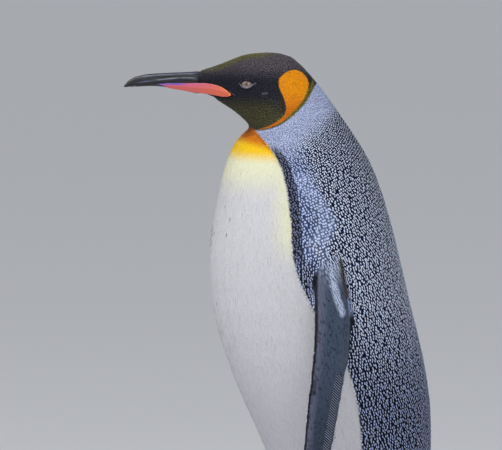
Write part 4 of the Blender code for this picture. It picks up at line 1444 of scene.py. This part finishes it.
bill_horn = horn_material("black bill horn", (9, 9, 15), (30, 33, 46), 0.36, (108, 118, 146))
for node in ("upper_bill", "lower_bill"):
    mesh = fine_copy(node, HORN_VOXEL)
    if node == "upper_bill":
        press_groove(mesh, **UPPER_GROOVE)
        press_groove(mesh, **LOWER_GROOVE)
    place = turned(points_of(mesh), -1.0)
    share = share_of_height(place)
    narrower, flatter, core = HORN_TAPER[node]
    at_root = ease(place[:, 1], MASK_FRONT_Y - 0.010, MASK_FRONT_Y + 0.004)
    deep = ease(place[:, 1], MASK_FRONT_Y - 0.005, MASK_FRONT_Y + 0.009)
    tapered = place.copy()
    tapered[:, 0] *= 1.0 - narrower * at_root
    tapered[:, 2] += (core - place[:, 2]) * flatter * deep
    put_points(mesh, turned(tapered, 1.0))
    # Painted highlights along those two lines of the upper bill, fading out towards the tip and the root.
    shine = np.maximum(*(ridge(share, at, HIGHLIGHT_WIDE) for at in HIGHLIGHT_LINES)) * (node == "upper_bill")
    shine = shine * ease(place[:, 1], BILL_TIP_Y + 0.010, BILL_TIP_Y + 0.03) * (1.0 - at_root)
    give(mesh, "painted_highlight", "FLOAT", shine)
    finished(f"{node}_horn", mesh, bill_horn, node)
    print(node, "faces:", len(mesh.polygons))

# %% [markdown]
# A king penguin's lower bill carries a coloured plate on each side, violet at its front, coral behind and
# orange round its rear end. The plate is moved a little against its solid, by eased amounts along its
# length, so that its round end lies on top of the face and not in it.

# %% The coloured plates
PLATE_VOXEL = 0.0006
PLATE_STANDS_OUT = 0.0028
PLATE_FRONT_SINKS = 0.0004


def plate_material():
    material, tree, principled = new_material("coral plate horn", Roughness=0.36, Coat_Weight=0.12)
    along = attribute(tree, "along")
    up = attribute(tree, "up")
    colour = mix_colours(tree, remap(tree, along, 0.35, 0.9), rgba(196, 82, 78), rgba(206, 86, 56))
    pink = value_node(tree, "MULTIPLY", remap(tree, up, 0.45, 0.85), remap(tree, along, 0.85, 0.45))
    colour = mix_colours(tree, pink, colour, rgba(196, 74, 120))
    violet = value_node(tree, "MULTIPLY", remap(tree, up, 0.55, 0.85), remap(tree, along, 0.42, 0.22))
    violet = value_node(tree, "MAXIMUM", violet, remap(tree, along, 0.16, 0.04))
    colour = mix_colours(tree, violet, colour, rgba(70, 62, 176))
    # Orange along the top edge near the rear is a painted highlight; orange round the rear end is the plate's
    # own colour.
    rim = value_node(tree, "MULTIPLY", remap(tree, up, 0.70, 0.95), remap(tree, along, 0.80, 0.92))
    rim = value_node(tree, "MAXIMUM", rim, remap(tree, along, 0.955, 0.985))
    colour = mix_colours(tree, rim, colour, rgba(240, 130, 20))
    streaks = stretched_noise(tree, attribute(tree, "straight", "Vector"), (900.0, 60.0, 900.0))
    colour = mix_colours(tree, value_node(tree, "MULTIPLY", streaks, 0.25), colour, rgba(222, 132, 112))
    tree.links.new(colour, principled.inputs["Base Color"])
    bumped(tree, principled, streaks, 0.2, 0.0003)
    return material


plate_horn = plate_material()
for side, sign in zip(SIDES, (1, -1)):
    mesh = fine_copy(f"{side}_bill_plate", PLATE_VOXEL, 3)
    place, run = moved_plate(turned(points_of(mesh), -1.0))
    low, high = edges_along(run, place[:, 2], 0.02)(run)
    give(mesh, "along", "FLOAT", run)
    give(mesh, "up", "FLOAT", (place[:, 2] - low) / (high - low))
    sinks = PLATE_FRONT_SINKS * ease(-run, -0.15, 0.0)
    place[:, 0] += sign * (PLATE_STANDS_OUT * ease(run, 0.68, 0.97) - sinks)
    place[:, 2] = high + (place[:, 2] - high) * ease(run, -0.04, 0.16)
    put_points(mesh, turned(place, 1.0))
    finished(f"{side}_coral_plate", mesh, plate_horn, f"{side}_bill_plate")
print("plate faces:", len(mesh.polygons), "a side")

# %% Nails
nail_horn = horn_material("black nail horn", (34, 33, 36), (80, 78, 78), 0.42, (0, 0, 0))
for side in SIDES:
    for toe in ("inner", "middle", "outer"):
        mesh = fine_copy(f"{side}_claw_{toe}", NAIL_VOXEL)
        # The nails get no painted highlight.
        give(mesh, "painted_highlight", "FLOAT", np.zeros(len(mesh.vertices)))
        finished(f"{side}_nail_{toe}", mesh, nail_horn, f"{side}_claw_{toe}")
print("nails:", 3 * len(SIDES))

# %% [markdown]
# ## Eyes
# An eye is a ball with an iris in front and a clear, wet cornea over it. The ball is built as rings of
# points round its line of sight, so the iris and the pupil can be painted by one number, the distance from
# that line.

# %% Eyeballs
EYE_RINGS = 40
EYE_SPOKES = 56
CORNEA = 0.0003
CORNEA_ANGLES = (0.3, 0.5)
PUPIL_EDGE = (0.0028, 0.0014)
IRIS_EDGE = (0.0050, 0.0060)


def eye_mesh(side):
    centre = middle(f"{side}_eye")
    sign = 1 if side == "left" else -1
    gaze = np.array([[sign * EYE_RADIUS, OPENING_MIDDLE[0], OPENING_MIDDLE[1]]])
    gaze = Vector(turned([centre], 1.0, gaze)[0]).normalized()
    frame_of_eye = gaze.to_track_quat("Z", "Y").to_matrix()
    bm = bmesh.new()
    sight = bm.verts.layers.float.new("sight")
    rings = []
    for k in range(1, EYE_RINGS):
        polar = math.pi * k / EYE_RINGS
        radius = EYE_RADIUS - CORNEA * (1.0 - float(ease(-polar, -CORNEA_ANGLES[1], -CORNEA_ANGLES[0])))
        ring = []
        for spoke in range(EYE_SPOKES):
            turn = math.tau * spoke / EYE_SPOKES
            aside = math.sin(polar)
            local = Vector((aside * math.cos(turn), aside * math.sin(turn), math.cos(polar)))
            vertex = bm.verts.new(centre + frame_of_eye @ local * radius)
            vertex[sight] = EYE_RADIUS * math.sin(polar) if polar < math.pi / 2 else 2 * EYE_RADIUS
            ring.append(vertex)
        rings.append(ring)
    for near, far in zip(rings, rings[1:]):
        for k in range(EYE_SPOKES):
            bm.faces.new((near[k], far[k], far[k - 1], near[k - 1]))
    front = bm.verts.new(centre + gaze * EYE_RADIUS)
    back = bm.verts.new(centre - gaze * (EYE_RADIUS - CORNEA))
    back[sight] = 2 * EYE_RADIUS
    for k in range(EYE_SPOKES):
        bm.faces.new((rings[0][k], rings[0][k - 1], front))
        bm.faces.new((rings[-1][k - 1], rings[-1][k], back))
    bmesh.ops.recalc_face_normals(bm, faces=bm.faces)
    mesh = bpy.data.meshes.new(f"{side}_eyeball")
    bm.to_mesh(mesh)
    bm.free()
    return mesh


def eye_material():
    material, tree, principled = new_material("wet eye", Roughness=0.22, Coat_Weight=1.0, Coat_Roughness=0.03)
    sight = attribute(tree, "sight")
    place = attribute(tree, "straight", "Vector")
    fibres = add_node(tree, "ShaderNodeTexNoise", Vector=place, Scale=900.0, Detail=4.0).outputs[0]
    iris = mix_colours(tree, fibres, rgba(104, 88, 78), rgba(154, 132, 118))
    colour = mix_colours(tree, remap(tree, sight, *PUPIL_EDGE), iris, rgba(84, 66, 58))
    colour = mix_colours(tree, remap(tree, sight, *IRIS_EDGE), colour, rgba(46, 36, 34))
    tree.links.new(colour, principled.inputs["Base Color"])
    return material


wet_eye = eye_material()
for side in SIDES:
    mesh = eye_mesh(side)
    finished(f"{side}_eyeball", mesh, wet_eye, f"{side}_eye")
    print(f"{side}_eyeball faces:", len(mesh.polygons))

# %% [markdown]
# ## The skin's own finish
# Under the coat the skin carries the same markings, so no pale gap shows between feathers. On the feet it
# is bare, dark and creased.

# %% Colour the skin and hang the pieces on the body
def skin_material(name, roughness, scale, strength, distance):
    material, tree, principled = new_material(name, Roughness=roughness)
    place = add_node(tree, "ShaderNodeTexCoord").outputs["Object"]
    pebbles = add_node(tree, "ShaderNodeTexVoronoi", {"feature": "SMOOTH_F1"}, Vector=place, Scale=scale)
    share = value_node(tree, "MULTIPLY", pebbles.outputs[0], 0.5)
    colour = mix_colours(tree, share, attribute(tree, "tone", "Color"), BLACK)
    tree.links.new(colour, principled.inputs["Base Color"])
    bumped(tree, principled, pebbles.outputs[0], strength, distance)
    return material


STROKE_IN_SKIN = 0.2
LID_TONE = linear(150, 146, 152)
LID_FROM, LID_TO = -0.0006, 0.0013
LID_TOP = 0.0012
LID_FROM_X = 0.02
stroke, ground = markings(straight, skin_normals, skin_kind)
tone = ground[:, :3] * (1.0 - STROKE_IN_SKIN) + stroke[:, :3] * STROKE_IN_SKIN
beyond = outside_opening(straight)
lower_lid = (beyond > LID_FROM) & (beyond < LID_TO) & (np.abs(straight[:, 0]) > LID_FROM_X)
lower_lid &= straight[:, 2] < turned([middle("left_eye")], -1.0)[0, 2] + LID_TOP
tone[lower_lid] = LID_TONE
give(skin_mesh, "tone", "FLOAT_COLOR", tone)
skin_mesh.materials.append(skin_material("skin under the coat", 0.8, 900.0, 0.3, 0.0005))
skin_mesh.materials.append(skin_material("bare foot skin", 0.55, 420.0, 0.8, 0.0008))
face_start = numbers(skin_mesh.polygons, "loop_start", kind=np.int64)
corner_point = numbers(skin_mesh.loops, "vertex_index", kind=np.int64)
bare_face = skin_kind[corner_point[face_start]] == KINDS.index("foot")
skin_mesh.polygons.foreach_set("material_index", bare_face.astype(np.int32))
shade_smooth(skin_mesh)
skin_mesh.attributes.remove(skin_mesh.attributes["out"])
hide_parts(*FLESH)
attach(skin, "root")
for piece in coat_pieces:
    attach(piece, "root")
print("faces of bare skin on the feet:", int(bare_face.sum()), "of", len(bare_face))

# %% [markdown]
# ## Floor, light and camera
# The floor is plain and pale. Soft light comes from a wide sheet overhead and a weaker one beside the
# camera, as under a bright overcast sky, so the shadows stay open. A long lens from six metres keeps the
# bird's proportions.

# %% Stage
FLOOR = 40.0
floor_mesh = bpy.data.meshes.new("floor")
floor_mesh.from_pydata([(x * FLOOR, y * FLOOR, 0.0) for x, y in ((-1, -1), (1, -1), (1, 1), (-1, 1))], [],
                       [(0, 1, 2, 3)])
floor = new_object("floor", floor_mesh)
floor_material, _, _ = new_material("plain floor", Base_Color=rgba(232, 232, 235), Roughness=0.8)
floor_mesh.materials.append(floor_material)
floor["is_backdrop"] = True

world = bpy.data.worlds.new("soft sky")
world.use_nodes = True
sky = world.node_tree.nodes["Background"].inputs
sky["Color"].default_value = (0.93, 0.96, 1.0, 1.0)
sky["Strength"].default_value = 0.50
bpy.context.scene.world = world
bpy.context.scene.view_settings.view_transform = "Standard"


def area_light(name, place, target, size, power):
    lamp = bpy.data.lights.new(name, "AREA")
    lamp.size = size
    lamp.energy = power
    obj = new_object(name, lamp)
    obj.location = place
    obj.rotation_euler = (Vector(target) - Vector(place)).to_track_quat("-Z", "Y").to_euler()
    print(name, "at", place, "with", power, "watts")


chest = (0.0, 0.0, 0.5)
area_light("sheet overhead", (0.4, -1.6, 2.6), chest, 2.4, 47.0)
area_light("sheet by the camera", (3.2, -0.6, 1.6), chest, 2.0, 20.0)

# %% Camera
AZIMUTH = math.radians(66.0)
ELEVATION = math.radians(8.0)
DISTANCE = 6.0
LENS = 358.6
AIM = Vector((0.0, 0.0278, 0.40))
ASIDE = -0.096
RAISED = 0.2328
back = Vector((math.sin(AZIMUTH) * math.cos(ELEVATION), -math.cos(AZIMUTH) * math.cos(ELEVATION),
               math.sin(ELEVATION)))
right = Vector((math.cos(AZIMUTH), math.sin(AZIMUTH), 0.0))
upright = back.cross(right)
lens = bpy.data.cameras.new("camera")
lens.lens = LENS
lens.sensor_width = 36.0
lens.clip_end = 100.0
camera = new_object("camera", lens)
camera.location = AIM + back * DISTANCE
middle_of_view = AIM + right * ASIDE + upright * RAISED
camera.rotation_euler = (middle_of_view - camera.location).to_track_quat("-Z", "Y").to_euler()
bpy.context.scene.camera = camera
print("lens", LENS, "mm at", DISTANCE, "m")

# %% Sizes, and the end
low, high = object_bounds()
print("box of the visual model:", [round(v, 4) for v in (*low, *high)])
